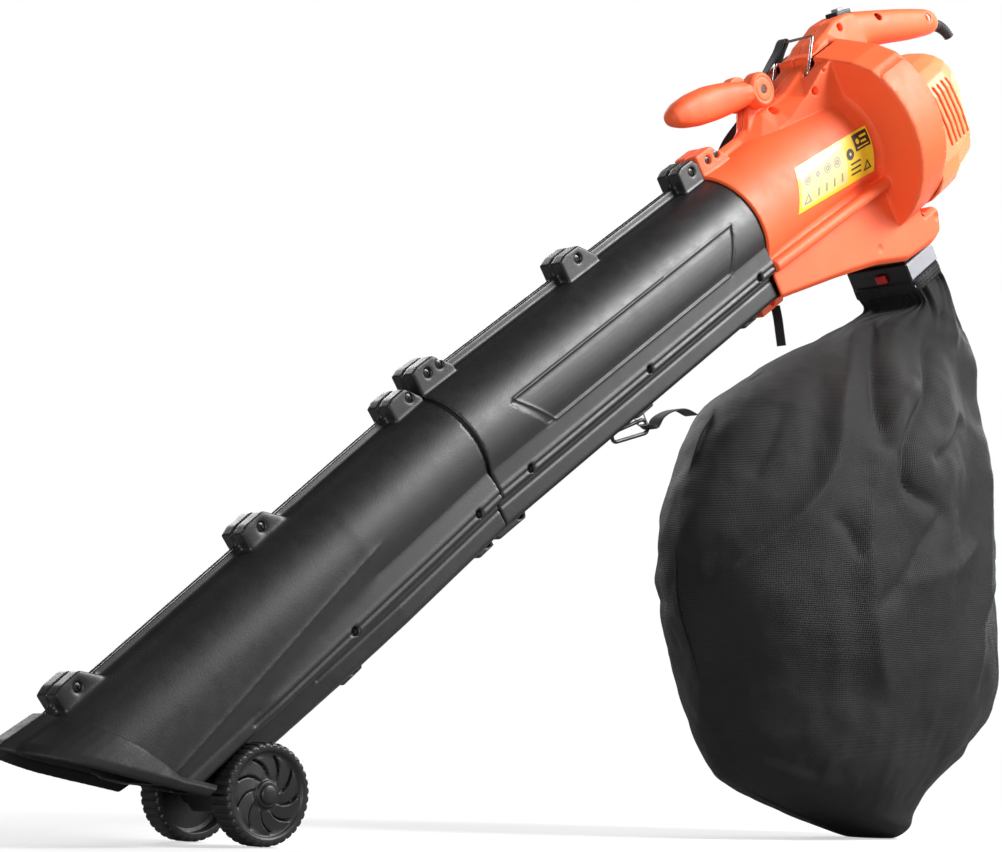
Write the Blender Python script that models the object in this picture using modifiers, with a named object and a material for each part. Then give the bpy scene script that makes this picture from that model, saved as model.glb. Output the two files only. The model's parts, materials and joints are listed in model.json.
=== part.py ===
"""Leaf vacuum mulcher: clamshell suction and blow tubes, fan housing, motor, handles, wheels and bag.

Most parts are modelled along the machine's own axis: +X runs up the tube from nozzle to motor, +Y is the
operator's right and +Z is the top seam. One empty tilts that axis to the angle at which the machine stands
on its wheels and its bag. Metres throughout.
"""

import math

import bmesh
import bpy
from mathutils import Matrix, Vector

# Stance
PITCH = math.radians(35.5)       # upper tube above the floor
BEND = math.radians(3.2)         # lower tube, steeper than the upper one
JOINT_HEIGHT = 0.34270           # tube joint above the floor, on the tube's axis
JOINT_X = -0.1674                # puts the middle of the whole length at X = 0

# Fits
GAP = 0.0003
SEAM = 0.00015                   # half of the gap between left and right shells
PAST_SEAM = -0.002               # tube halves are built this far past the seam, then cut at it
WALL = 0.0025
SHELL = 0.003
SINK = 0.004                     # depth to which screw heads are sunk

# Tubes
UPPER_RADIUS = 0.060
LOWER_RADIUS = 0.0572
UPPER_LENGTH = 0.4467
RIB_HALF = 0.0042
UPPER_RIB_TOP = 0.0680
LOWER_RIB_TOP = 0.0625
DUCT_HALF = 0.045                # blow duct, half width
DUCT_BOTTOM = 0.0795
RAIL_OUT = 0.0572                # side rails that carry the screws
RAIL_LOW = 0.0505
NOZZLE_DUCT_HALF = 0.0345        # the blow duct narrows between the wheels
NOZZLE_FLOOR = 0.0485            # the suction duct flattens over the wheels
MOUTH_SLOPE = 0.86               # the mouth's plane, backwards per metre down
MOUTH_AXIS = -0.4625             # where that plane crosses the tube's axis

# Wheels
AXLE_X = -0.363
AXLE_Z = -0.0945
AXLE_RADIUS = 0.004

# Fan housing
BARREL_START = 0.447
VOLUTE_FRONT = 0.657
VOLUTE_BACK = 0.710
EYE_RADIUS = 0.055
LOWER_HALF = 0.050               # lower duct body, half width
OUTLET_LOW, OUTLET_HIGH = 0.6590, 0.7030
OUTLET_HALF = 0.0370

# Front handle and strap ring
HANDLE_PIVOT = Vector((0.572, 0, 0.100))
HANDLE_TONGUE = 0.0085
RING_PIVOT = Vector((0.645, 0, 0.0845))
RING_REACH = Vector((0.030, 0, 0.0305))
RING_HALF = 0.0235
RING_WIRE = 0.0015

# Motor
IMPELLER_RADIUS = 0.090
BLADES = 6

# Bag
BAG_WALL = 0.0016
BAG_SIDES = 22

# Mode flap
FLAP_PIVOT = Vector((0.650, 0, -0.1310))


def clear_scene():
    for thing in list(bpy.data.objects):
        bpy.data.objects.remove(thing)


def material(name, colour, roughness, metallic=0.0):
    made = bpy.data.materials.new(name)
    made.use_nodes = True
    shader = made.node_tree.nodes["Principled BSDF"]
    shader.inputs["Base Color"].default_value = (*colour, 1.0)
    shader.inputs["Roughness"].default_value = roughness
    shader.inputs["Metallic"].default_value = metallic
    return made


def evaluated(mesh, add_modifier):
    """The mesh with one modifier applied, which add_modifier(object) puts on."""
    holder = bpy.data.objects.new("holder", mesh)
    bpy.context.scene.collection.objects.link(holder)
    add_modifier(holder)
    graph = bpy.context.evaluated_depsgraph_get()
    result = bpy.data.meshes.new_from_object(holder.evaluated_get(graph))
    bpy.data.objects.remove(holder)
    return result


def tidied(mesh, merge=0.00001):
    work = bmesh.new()
    work.from_mesh(mesh)
    bmesh.ops.remove_doubles(work, verts=work.verts, dist=merge)
    bmesh.ops.dissolve_degenerate(work, edges=work.edges, dist=merge)
    bmesh.ops.recalc_face_normals(work, faces=work.faces)
    work.to_mesh(mesh)
    work.free()
    return mesh


def from_bmesh(work):
    bmesh.ops.recalc_face_normals(work, faces=work.faces)
    mesh = bpy.data.meshes.new("shape")
    work.to_mesh(mesh)
    work.free()
    return mesh


def box(low, high):
    low, high = Vector(low), Vector(high)
    work = bmesh.new()
    bmesh.ops.create_cube(work, size=1.0)
    size = high - low
    bmesh.ops.scale(work, vec=size, verts=work.verts)
    bmesh.ops.translate(work, vec=(low + high) / 2, verts=work.verts)
    return from_bmesh(work)


def rod(start, end, radius, segments=16, end_radius=None):
    """A cylinder, or a cone where end_radius is given, between two points."""
    start, end = Vector(start), Vector(end)
    work = bmesh.new()
    bmesh.ops.create_cone(
        work, cap_ends=True, segments=segments, radius1=radius,
        radius2=radius if end_radius is None else end_radius, depth=(end - start).length,
    )
    turn = (end - start).to_track_quat("Z", "Y").to_matrix().to_4x4()
    bmesh.ops.transform(work, matrix=Matrix.Translation((start + end) / 2) @ turn, verts=work.verts)
    return from_bmesh(work)


AXES = {
    "X": Matrix(((0, 0, 1), (1, 0, 0), (0, 1, 0))).to_4x4(),
    "Y": Matrix(((1, 0, 0), (0, 0, 1), (0, -1, 0))).to_4x4(),
    "-Y": Matrix(((1, 0, 0), (0, 0, -1), (0, 1, 0))).to_4x4(),
}


def turned(profile, axis="X", steps=48, closed=False):
    """A profile of (radius, place along the axis) turned about that axis. A closed one leaves a hole."""
    work = bmesh.new()
    points = [work.verts.new((radius, 0, along)) for radius, along in profile]
    for first, second in zip(points, points[1:]):
        work.edges.new((first, second))
    if closed:
        work.edges.new((points[-1], points[0]))
    outline = bpy.data.meshes.new("profile")
    work.to_mesh(outline)
    work.free()

    def screw(holder):
        modifier = holder.modifiers.new("Screw", "SCREW")
        modifier.steps = steps
        modifier.render_steps = steps
        modifier.use_merge_vertices = True
        modifier.merge_threshold = 0.00001

    mesh = tidied(evaluated(outline, screw))
    mesh.transform(AXES[axis])
    return mesh


def plate(outline, low, high, axis="-Y"):
    """A flat outline, thick from low to high along an axis. On -Y it is given as (x, z), on X as (y, z)."""
    curve = bpy.data.curves.new("outline", "CURVE")
    curve.dimensions = "2D"
    curve.fill_mode = "BOTH"
    curve.extrude = (high - low) / 2
    spline = curve.splines.new("POLY")
    spline.points.add(len(outline) - 1)
    for point, (across, up) in zip(spline.points, outline):
        point.co = (across, up, 0, 1)
    spline.use_cyclic_u = True
    holder = bpy.data.objects.new("outline", curve)
    bpy.context.scene.collection.objects.link(holder)
    graph = bpy.context.evaluated_depsgraph_get()
    mesh = bpy.data.meshes.new_from_object(holder.evaluated_get(graph))
    bpy.data.objects.remove(holder)
    mesh.transform(AXES[axis])
    middle = (low + high) / 2
    mesh.transform(Matrix.Translation((0, middle, 0) if axis == "-Y" else (middle, 0, 0)))
    return tidied(mesh)


def loft(rings):
    """A closed body through rings of equally many points. It is for sections that differ."""
    work = bmesh.new()
    layers = [[work.verts.new(point) for point in ring] for ring in rings]
    sides = []
    for first, second in zip(layers, layers[1:]):
        for i in range(len(first)):
            j = (i + 1) % len(first)
            sides.append(work.faces.new((first[i], first[j], second[j], second[i])))
    bmesh.ops.triangulate(work, faces=sides)
    work.faces.new(layers[0])
    work.faces.new(layers[-1])
    return from_bmesh(work)


def wire(points, radius, cyclic=False, sides=1):
    curve = bpy.data.curves.new("wire", "CURVE")
    curve.dimensions = "3D"
    curve.bevel_depth = radius
    curve.bevel_resolution = sides
    curve.use_fill_caps = not cyclic
    spline = curve.splines.new("POLY")
    spline.points.add(len(points) - 1)
    for point, place in zip(spline.points, points):
        point.co = (*place, 1)
    spline.use_cyclic_u = cyclic
    holder = bpy.data.objects.new("wire", curve)
    bpy.context.scene.collection.objects.link(holder)
    graph = bpy.context.evaluated_depsgraph_get()
    mesh = bpy.data.meshes.new_from_object(holder.evaluated_get(graph))
    bpy.data.objects.remove(holder)
    return tidied(mesh)


def ribbon(path, across, thickness):
    """A flat strap along a path. across(i) gives the direction and half width at point i."""
    rings = []
    for i, point in enumerate(path):
        along = (path[min(i + 1, len(path) - 1)] - path[max(i - 1, 0)]).normalized()
        side = across(i)
        normal = along.cross(side).normalized() * thickness / 2
        rings.append([
            point + side + normal, point - side + normal, point - side - normal, point + side - normal,
        ])
    return loft(rings)


def combine(mesh, tool, operation="DIFFERENCE"):
    other = bpy.data.objects.new("tool", tool)
    bpy.context.scene.collection.objects.link(other)

    def boolean(holder):
        modifier = holder.modifiers.new("Boolean", "BOOLEAN")
        modifier.operation = operation
        modifier.solver = "EXACT"
        modifier.object = other

    result = evaluated(mesh, boolean)
    bpy.data.objects.remove(other)
    return result


def united(mesh, *tools):
    for tool in tools:
        mesh = combine(mesh, tool, "UNION")
    return mesh


def cut(mesh, *tools):
    for tool in tools:
        mesh = combine(mesh, tool)
    return mesh


def sealed(mesh):
    """Triangulated, with the needle gaps that this can leave closed again."""
    work = bmesh.new()
    work.from_mesh(mesh)
    bmesh.ops.remove_doubles(work, verts=work.verts, dist=0.000005)
    bmesh.ops.triangulate(work, faces=work.faces)
    bmesh.ops.holes_fill(work, edges=work.edges, sides=4)
    return from_bmesh(work)


def rounded(mesh, width, segments=2, angle=40):
    def bevel(holder):
        modifier = holder.modifiers.new("Bevel", "BEVEL")
        modifier.width = width
        modifier.segments = segments
        modifier.limit_method = "ANGLE"
        modifier.angle_limit = math.radians(angle)

    return evaluated(mesh, bevel)


def mirrored(mesh):
    copy = mesh.copy()
    copy.transform(Matrix.Scale(-1, 4, (0, 1, 0)))
    copy.flip_normals()
    return copy


def node(name, mesh, slot, parent=None, location=(0, 0, 0)):
    """One piece. Its mesh is given about the piece's own origin."""
    mesh.name = name
    mesh.materials.clear()
    mesh.materials.append(slot)
    mesh.shade_smooth()
    mesh.set_sharp_from_angle(angle=math.radians(35))
    piece = bpy.data.objects.new(name, mesh)
    parts.objects.link(piece)
    piece.parent = parent
    piece.location = location
    return piece


def arc(radius, start, end, count, centre=(0, 0)):
    """Points on a circle, from angle start to end in degrees. 0 is up and 90 is across."""
    points = []
    for i in range(count + 1):
        angle = math.radians(start + (end - start) * i / count)
        points.append((centre[0] + radius * math.sin(angle), centre[1] + radius * math.cos(angle)))
    return points


def blended(first, second, amount):
    return first + (second - first) * amount


def duct_section(radius, rib_top, squareness=0.0, rail=1.0):
    """Half of the tube's section, from the top seam round to the bottom one and back along the inside.

    The suction duct is round above. Towards the nozzle its lower half grows square, and the blow duct
    under it narrows.
    """
    floor = blended(radius, NOZZLE_FLOOR, squareness)
    half = blended(DUCT_HALF, NOZZLE_DUCT_HALF, squareness)

    def wall_point(angle, inset):
        across, up = math.sin(math.radians(angle)), math.cos(math.radians(angle))
        if angle <= 90:
            return ((radius - inset) * across, (radius - inset) * up)
        power = 1.0 - 0.62 * squareness
        return ((radius - inset) * across ** power, -(floor - inset) * (-up) ** power)

    outer_angles = [4.2 + (112 - 4.2) * i / 10 for i in range(11)]
    outer = [(PAST_SEAM, rib_top), (RIB_HALF, rib_top)]
    outer += [wall_point(angle, 0) for angle in outer_angles]
    side_across, side_up = outer[-1]
    rail_out = max(blended(side_across, RAIL_OUT, rail), half + 0.001)
    outer += [
        (rail_out - 0.001, blended(side_up - 0.004, -0.0375, rail)),
        (rail_out, -0.0400),
        (rail_out, -0.0475),
        (rail_out - 0.002, -RAIL_LOW),
        (half + 0.0008, -RAIL_LOW - 0.001),
        (half, -RAIL_LOW - 0.0035),
        (half, -DUCT_BOTTOM + 0.004),
        (half - 0.004, -DUCT_BOTTOM),
        (PAST_SEAM, -DUCT_BOTTOM),
    ]
    ceiling_start = 134 + 10 * squareness
    ceiling = [wall_point(ceiling_start + (179.8 - ceiling_start) * i / 5, 0) for i in range(6)]
    inner_half = half - WALL
    duct = [
        (PAST_SEAM, -DUCT_BOTTOM + WALL),
        (inner_half - 0.002, -DUCT_BOTTOM + WALL),
        (inner_half, -DUCT_BOTTOM + WALL + 0.002),
        (inner_half, min(ceiling[0][1] - 0.004, -RAIL_LOW - 0.001)),
    ]
    duct += [(min(across, inner_half - 0.0005 * i), up) for i, (across, up) in enumerate(ceiling)]
    duct[-1] = (PAST_SEAM, -floor)
    bore = [wall_point(179.8 - 179.6 * i / 16, WALL) for i in range(17)]
    bore[0] = (PAST_SEAM, -floor + WALL)
    bore[-1] = (PAST_SEAM, radius - WALL)
    return outer + duct + bore


def lug(along, base, length, width, height=0.0145):
    """A screw lug on a seam: upright in front, sloping down behind. It stands height above its base."""
    front = along - length / 2
    outline = [
        (front, base - 0.018),
        (front, base + height * 0.78),
        (front + length * 0.2, base + height),
        (front + length * 0.62, base + height),
        (front + length, base - 0.004),
        (front + length, base - 0.018),
    ]
    return plate(outline, -width / 2, width / 2)


def low_lug(along, base, length, width, depth=0.016):
    outline = [
        (along - length / 2, base + 0.001),
        (along - length * 0.36, base - depth),
        (along + length * 0.36, base - depth),
        (along + length / 2, base + 0.001),
    ]
    return plate(outline, -width / 2, width / 2)


# ---- tubes ---------------------------------------------------------------------------------------------


def screw_hole(along, up, half):
    """A hole across a lug that is half thick each way, wider where the screw's head sits."""
    narrow = rod((along, -0.01, up), (along, half, up), 0.0026, 8)
    wide = rod((along, half - SINK, up), (along, half + 0.03, up), 0.0047, 12)
    return combine(narrow, wide, "UNION")


def screw_pocket(along, up, out, depth=0.006):
    """A blind hole in the side, for the screws that come in from the left and the right."""
    return rod((along, out - depth, up), (along, out + 0.03, up), 0.0042, 12)


def upper_half():
    """The right half of the upper tube."""
    stations = (-0.004, 0.16, 0.32, UPPER_LENGTH + 0.004)
    rings = []
    for along in stations:
        section = duct_section(UPPER_RADIUS, UPPER_RIB_TOP)
        rings.append([Vector((along, across, up)) for across, up in section])
    shell = loft(rings)
    keep_out = rod((-0.1, 0, 0), (0.6, 0, 0), UPPER_RADIUS - 0.0012, 32)
    lugs = [
        cut(lug(along, 0.069, length, 0.030), keep_out.copy())
        for along, length in ((0.0240, 0.0500), (0.2440, 0.0480), (0.4350, 0.0420))
    ]
    lows = [
        low_lug(0.0280, -DUCT_BOTTOM, 0.0540, 0.034),
        low_lug(0.2460, -DUCT_BOTTOM, 0.0360, 0.022),
        low_lug(0.4290, -DUCT_BOTTOM, 0.0300, 0.026),
    ]
    shell = united(shell, *lugs, *lows)
    shell = combine(shell, box((GAP, SEAM, -1), (UPPER_LENGTH, 1, 1)), "INTERSECT")
    panel = plate(((0.052, 0.018), (0.086, -0.022), (0.386, -0.022), (0.412, 0.020)), 0.02, 0.09)
    panel = cut(panel, rod((-0.1, 0, 0), (0.6, 0, 0), UPPER_RADIUS - 0.0014, 60))
    holes = [screw_hole(*spot) for spot in UPPER_SCREWS]
    holes += [screw_pocket(along, -0.0440, RAIL_OUT) for along in (0.0440, 0.2300, 0.4200)]
    return sealed(cut(shell, panel, *holes))


def lower_half():
    """The right half of the lower tube. It turns square and is cut off at a slant at the nozzle."""
    stations = (
        (0.0, 0.0, 1.0), (-0.15, 0.0, 1.0), (-0.24, 0.35, 1.0), (-0.310, 0.85, 1.0), (-0.336, 1.0, 0.0),
        (None, 1.0, 0.0),
    )
    rings = []
    for along, squareness, rail in stations:
        ring = []
        for across, up in duct_section(LOWER_RADIUS, LOWER_RIB_TOP, squareness, rail):
            place = along
            if along is None:
                place = MOUTH_AXIS + 0.008 - MOUTH_SLOPE * up
            elif along == 0.0:
                place = 0.010
            ring.append(Vector((place, across, up)))
        rings.append(ring)
    shell = loft(rings[::-1])
    keep_out = rod((-0.6, 0, 0), (0.1, 0, 0), LOWER_RADIUS - 0.0012, 32)
    lugs = [
        cut(lug(along, 0.0610, length, 0.030), keep_out.copy())
        for along, length in ((-0.4310, 0.0460), (-0.2090, 0.0480), (-0.0160, 0.0400))
    ]
    lows = [low_lug(-0.2040, -DUCT_BOTTOM, 0.0360, 0.022), low_lug(-0.0120, -DUCT_BOTTOM, 0.0420, 0.034)]
    shell = united(shell, *lugs, *lows)
    shell = combine(cut(shell, joint_wall()), box((-1, SEAM, -1), (1, 1, 1)), "INTERSECT")
    holes = [screw_hole(*spot) for spot in LOWER_SCREWS]
    holes += [screw_pocket(along, -0.0440, RAIL_OUT) for along in (-0.2100, -0.0350)]
    return sealed(cut(shell, *holes))


def joint_wall():
    """What lies beyond the joint, in the lower tube's own frame."""
    wall = box((-GAP, -0.2, -0.3), (0.5, 0.2, 0.3))
    wall.transform(Matrix.Rotation(-BEND, 4, "Y").inverted())
    return wall


UPPER_SCREWS = (                 # along, up, half thickness of the lug
    (0.0170, 0.0730, 0.015), (0.0340, 0.0730, 0.015), (0.2430, 0.0730, 0.015), (0.4340, 0.0730, 0.015),
    (0.0420, -0.0885, 0.017), (0.2460, -0.0885, 0.011), (0.4300, -0.0885, 0.013),
)
LOWER_SCREWS = (
    (-0.4340, 0.0655, 0.015), (-0.2120, 0.0655, 0.015), (-0.0100, 0.0655, 0.015),
    (-0.2020, -0.0885, 0.011), (-0.0120, -0.0885, 0.017),
)


def nozzle_shoe():
    """The flared lip over the nozzle: its section is carried round the top and down both sides."""
    places = [(Vector((0, -0.0566, up)), Vector((0, -1, 0))) for up in (-0.058, -0.052, -0.045)]
    count = 28
    for i in range(count + 1):
        angle = math.radians(-108 + 216 * i / count)
        across, up = math.sin(angle), math.cos(angle)
        if up >= 0:
            place = Vector((0, LOWER_RADIUS * across, LOWER_RADIUS * up))
        else:
            power = 0.38
            place = Vector((0, math.copysign(LOWER_RADIUS * abs(across) ** power, across),
                            -NOZZLE_FLOOR * (-up) ** power))
        outward = Vector((0, across, max(up, 0))).normalized()
        if abs(across) < 0.16 and up > 0:
            place.z = LOWER_RIB_TOP
            outward = Vector((0, across, up))
        places.append((place, outward))
    places += [(Vector((0, 0.0566, up)), Vector((0, 1, 0))) for up in (-0.045, -0.052, -0.058)]
    rings = []
    for place, outward in places:
        clear = 0.0006
        rim = MOUTH_AXIS - MOUTH_SLOPE * place.z
        edge = max(-0.432 - 0.42 * place.z - 1.8 * place.z ** 2, rim + 0.016)
        section = (
            (edge, clear), (edge - 0.0015, clear + 0.0024), (rim + 0.010, 0.0075), (rim + 0.002, 0.0068),
            (rim, 0.0052), (rim + 0.001, 0.0036), (rim + 0.009, clear),
        )
        rings.append([place + outward * out + Vector((along, 0, 0)) for along, out in section])
    return loft(rings)


def axle_bracket():
    block = box((AXLE_X - 0.017, -0.0335, -0.1040), (AXLE_X + 0.017, 0.0335, -DUCT_BOTTOM - GAP))
    bore = rod((AXLE_X, -0.1, AXLE_Z), (AXLE_X, 0.1, AXLE_Z), AXLE_RADIUS + GAP, 20)
    return cut(rounded(block, 0.003), bore)


def wheel():
    """The right wheel, about its own axle: a tread, a dished web and a hub."""
    profile = (
        (0.0043, 0.0375), (0.0043, 0.0596), (0.0100, 0.0600), (0.0112, 0.0560), (0.0310, 0.0545),
        (0.0340, 0.0600), (0.0395, 0.0610), (0.0420, 0.0588), (0.0420, 0.0392), (0.0395, 0.0370),
        (0.0345, 0.0370), (0.0345, 0.0500), (0.0095, 0.0500), (0.0095, 0.0375),
    )
    return turned(profile, "Y", 28, closed=True)


# ---- fan housing ---------------------------------------------------------------------------------------


BARREL = (
    (0.0, 0.4400), (0.0635, 0.4400), (0.0633, BARREL_START), (0.0625, 0.455), (0.0615, 0.475),
    (0.0625, 0.560), (0.0650, 0.638), (0.0662, 0.652), (0.0700, 0.659), (0.0, 0.659),
)
LOWER_OUTLINE = (
    (0.4350, -0.030), (0.4350, -0.0775), (0.539, -0.1035), (0.605, -0.1225), (0.653, -0.1420),
    (0.702, -0.1460), (0.725, -0.1385), (0.733, -0.1230), (0.731, -0.1125), (0.7050, -0.1125),
    (0.7050, -0.030),
)
LOWER_HOLLOW = (
    (0.4300, -0.036), (0.4300, -0.0743), (0.538, -0.1002), (0.604, -0.1192), (0.654, -0.1388),
    (0.701, -0.1428), (0.7225, -0.1355), (0.7295, -0.1220), (0.7280, -0.1158), (0.7065, -0.1158),
    (0.7065, -0.0930), (0.6520, -0.0930), (0.6520, -0.036),
)
NECK = (                         # along, base half width, shoulder, top half width, top, bottom
    (0.4350, 0.0060, 0.0660, 0.0045, 0.0690, 0.050), (0.5280, 0.0075, 0.0625, 0.0050, 0.0690, 0.050),
    (0.5450, 0.0190, 0.0600, 0.0085, 0.0730, 0.045), (0.5640, 0.0270, 0.0575, 0.0150, 0.0780, 0.040),
    (0.5820, 0.0320, 0.0590, 0.0170, 0.0795, 0.040), (0.6090, 0.0385, 0.0705, 0.0178, 0.0805, 0.040),
    (0.6390, 0.0445, 0.0855, 0.0180, 0.0885, 0.040), (0.6570, 0.0470, 0.0900, 0.0180, 0.0930, 0.040),
    (0.6840, 0.0455, 0.0890, 0.0180, 0.1050, 0.050), (0.7060, 0.0340, 0.0860, 0.0180, 0.1085, 0.062),
    (0.7220, 0.0215, 0.0880, 0.0180, 0.1125, 0.0700), (0.7450, 0.0190, 0.0880, 0.0176, 0.1120, 0.0690),
    (0.7620, 0.0188, 0.0870, 0.0165, 0.1080, 0.0660),
)
GRIP = (                         # along, up, half height, half width
    (0.728, 0.0900, 0.0240, 0.0170), (0.748, 0.0895, 0.0238, 0.0185), (0.775, 0.0830, 0.0208, 0.0190),
    (0.805, 0.0730, 0.0195, 0.0190), (0.835, 0.0625, 0.0186, 0.0188), (0.865, 0.0515, 0.0174, 0.0182),
    (0.888, 0.0435, 0.0154, 0.0168), (0.8995, 0.0390, 0.0128, 0.0136), (0.9050, 0.0370, 0.0080, 0.0085),
)
SWITCH_PLACE = (0.7570, 0, 0.1098)
SWITCH_LEAN = math.radians(12)
GRIP_FALL = math.radians(20)     # the grip slopes this much from the tube's axis


def oval_ring(along, up, half_height, half_width, count=16):
    """A full oval across the grip's own direction."""
    rise = Vector((math.sin(GRIP_FALL), 0, math.cos(GRIP_FALL)))
    ring = []
    for i in range(count):
        angle = 2 * math.pi * i / count
        over = math.copysign(abs(math.cos(angle)) ** 0.85, math.cos(angle))
        out = math.copysign(abs(math.sin(angle)) ** 0.85, math.sin(angle))
        ring.append(Vector((along, 0, up)) + rise * half_height * over + Vector((0, half_width * out, 0)))
    return ring


def grip(shrink=0.0, first=0, last=None):
    stations = GRIP[first:last]
    return loft([oval_ring(x, z, high - shrink, wide - shrink) for x, z, high, wide in stations])


def neck():
    """The web that carries the handle and the strap ring. It widens backwards to the fan chamber."""
    rings = []
    for along, base, shoulder, top_half, top, bottom in NECK:
        side = ((top_half - 0.003, top), (top_half, top - 0.003), (base, shoulder), (base, bottom))
        half = [Vector((along, across, up)) for across, up in side]
        rings.append(half + [Vector((point.x, -point.y, point.z)) for point in half[::-1]])
    return loft(rings)


def fan_outline(inset):
    """The fan chamber is round but for its top, which is lower where the web meets it."""
    radii = [(0, 0.1000), (15, 0.1010), (29, 0.1023), (41, 0.1085)]
    radii += [(53 + 127 * i / 12, 0.1145 + min(i, 1) * 0.0010) for i in range(13)]
    right = []
    for angle, radius in radii:
        turn = math.radians(angle)
        right.append(((radius - inset) * math.sin(turn), (radius - inset) * math.cos(turn)))
    return right + [(-across, up) for across, up in right[-2:0:-1]]


def rail(side):
    start = Vector((0.4400, side * 0.0545, -0.0455))
    end = Vector((0.6585, side * 0.0565, -0.0520))
    return rod(start, end, 0.0064, 12)


def housing_half():
    """The right half of the fan housing with half of the main handle."""
    barrel = turned(BARREL, "X", 36)
    volute = rounded(plate(fan_outline(0), VOLUTE_FRONT, VOLUTE_BACK, "X"), 0.003, 1, 60)
    lower = rounded(plate(LOWER_OUTLINE, -LOWER_HALF, LOWER_HALF), 0.005, 1)
    tongue_outline = [(0.535, 0.055), (0.540, 0.0680), (0.556, 0.0880)]
    tongue_outline += arc(0.0130, 250, 470, 10, (HANDLE_PIVOT.x, HANDLE_PIVOT.z))
    tongue_outline += [(0.596, 0.0780), (0.600, 0.055)]
    tongue = plate(tongue_outline, -HANDLE_TONGUE, HANDLE_TONGUE)
    front_lug = combine(lug(0.4660, 0.0690, 0.0540, 0.030), box((0.43, -1, 0.055), (1, 1, 1)), "INTERSECT")
    bottom_lug = low_lug(0.4650, -0.0800, 0.0560, 0.030, 0.018)
    solid = united(barrel, volute, lower, neck(), tongue, front_lug, bottom_lug, grip(), rail(1), rail(-1))
    bore = turned((
        (0.0, 0.43), (0.0590, 0.43), (0.0590, 0.56), (0.0615, 0.630), (0.0630, 0.6540), (0.0, 0.6540),
    ), "X", 36)
    eye = rod((0.64, 0, 0), (0.67, 0, 0), EYE_RADIUS, 32)
    chamber = plate(fan_outline(0.0034), 0.6600, 0.7065, "X")
    nose = rod((0.70, 0, 0), (0.72, 0, 0), 0.034, 32)
    barrel_core = turned(BARREL[:-2] + ((0.0690, 0.660), (0.0, 0.660)), "X", 36)
    low_hollow = cut(plate(LOWER_HOLLOW, -0.0470, 0.0470), barrel_core)
    outlet = box((OUTLET_LOW, -OUTLET_HALF, -0.160), (OUTLET_HIGH, OUTLET_HALF, -0.130))
    switch_slot = united(box((-0.0095, -0.0055, -0.0200), (0.0095, 0.0055, 0.0100)),
                         box((-0.0128, -0.0085, -0.0033), (0.0128, 0.0085, 0.0200)))
    switch_slot.transform(Matrix.Translation(SWITCH_PLACE) @ Matrix.Rotation(SWITCH_LEAN, 4, "Y"))
    solid = combine(solid, box((BARREL_START, SEAM, -1), (2, 1, 1)), "INTERSECT")
    leg_slot = box((0.6370, 0.0206, 0.0810), (0.7000, 0.0264, 0.1300))
    far = Vector((0, 0.1, 0))
    ring_hole = rod(RING_PIVOT - far, RING_PIVOT + far, RING_WIRE + 0.0004, 12)
    bolt_hole = rod(HANDLE_PIVOT - far, HANDLE_PIVOT + far, 0.0044, 16)
    grip_hollow = grip(0.0032, 1, 8)
    tools = [
        bore, eye, chamber, nose, low_hollow, outlet, grip_hollow, switch_slot, leg_slot, ring_hole,
        bolt_hole,
    ]
    tools += [screw_hole(*spot) for spot in HOUSING_SCREWS]
    tools += [screw_pocket(*spot) for spot in HOUSING_POCKETS]
    return sealed(cut(solid, *tools))


HOUSING_SCREWS = ((0.4630, 0.0725, 0.015), (0.4780, 0.0725, 0.015), (0.4680, -0.0900, 0.015))
HOUSING_POCKETS = (              # along, up, out, depth
    (0.7280, 0.1030, 0.0180, 0.012), (0.8000, 0.0860, 0.0170, 0.012), (0.8820, 0.0500, 0.0160, 0.010),
    (0.6238, 0.0710, 0.0415, 0.008), (0.5786, 0.0735, 0.0165, 0.006),
    (0.7210, -0.1240, LOWER_HALF, 0.0015), (0.6150, -0.1090, LOWER_HALF, 0.0015),
)


def cover_ring(along, half, low, high, inset=0.0, count=24):
    ring = []
    middle, tall = (low + high) / 2, (high - low) / 2 - inset
    wide = half - inset
    for i in range(count):
        angle = 2 * math.pi * i / count
        out = math.copysign(abs(math.sin(angle)) ** 0.62, math.sin(angle))
        over = math.copysign(abs(math.cos(angle)) ** 0.62, math.cos(angle))
        ring.append(Vector((along, wide * out, middle + tall * over)))
    return ring


COVER = (                        # along, half width, low, high
    (0.7103, 0.0920, -0.1080, 0.0430), (0.7450, 0.0925, -0.1070, 0.0425), (0.7800, 0.0900, -0.0960, 0.0405),
    (0.8020, 0.0800, -0.0640, 0.0380), (0.8150, 0.0640, -0.0420, 0.0300),
)


def motor_cover():
    outer = [cover_ring(*station) for station in COVER]
    inner = [cover_ring(station[0] - (0.003 if i == len(COVER) - 1 else 0), *station[1:], inset=SHELL)
             for i, station in enumerate(COVER)]
    cover = loft(outer[::-1] + inner)
    slots = []
    for side in (-1, 1):
        for k in range(5):
            along = 0.738 + 0.0095 * k
            slots.append(box((along, side * 0.060, -0.055), (along + 0.0028, side * 0.110, 0.010)))
    for k in range(5):
        up = -0.042 + 0.012 * k
        slots.append(box((0.79, -0.034, up), (0.83, 0.034, up + 0.0045)))
    return sealed(cut(cover, *slots))


def rectangular_tube(low, high, hollow_low, hollow_high, width=0.002):
    outer = rounded(box(low, high), width)
    return cut(outer, box(hollow_low, hollow_high))


# ---- motor and fan -------------------------------------------------------------------------------------


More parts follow.
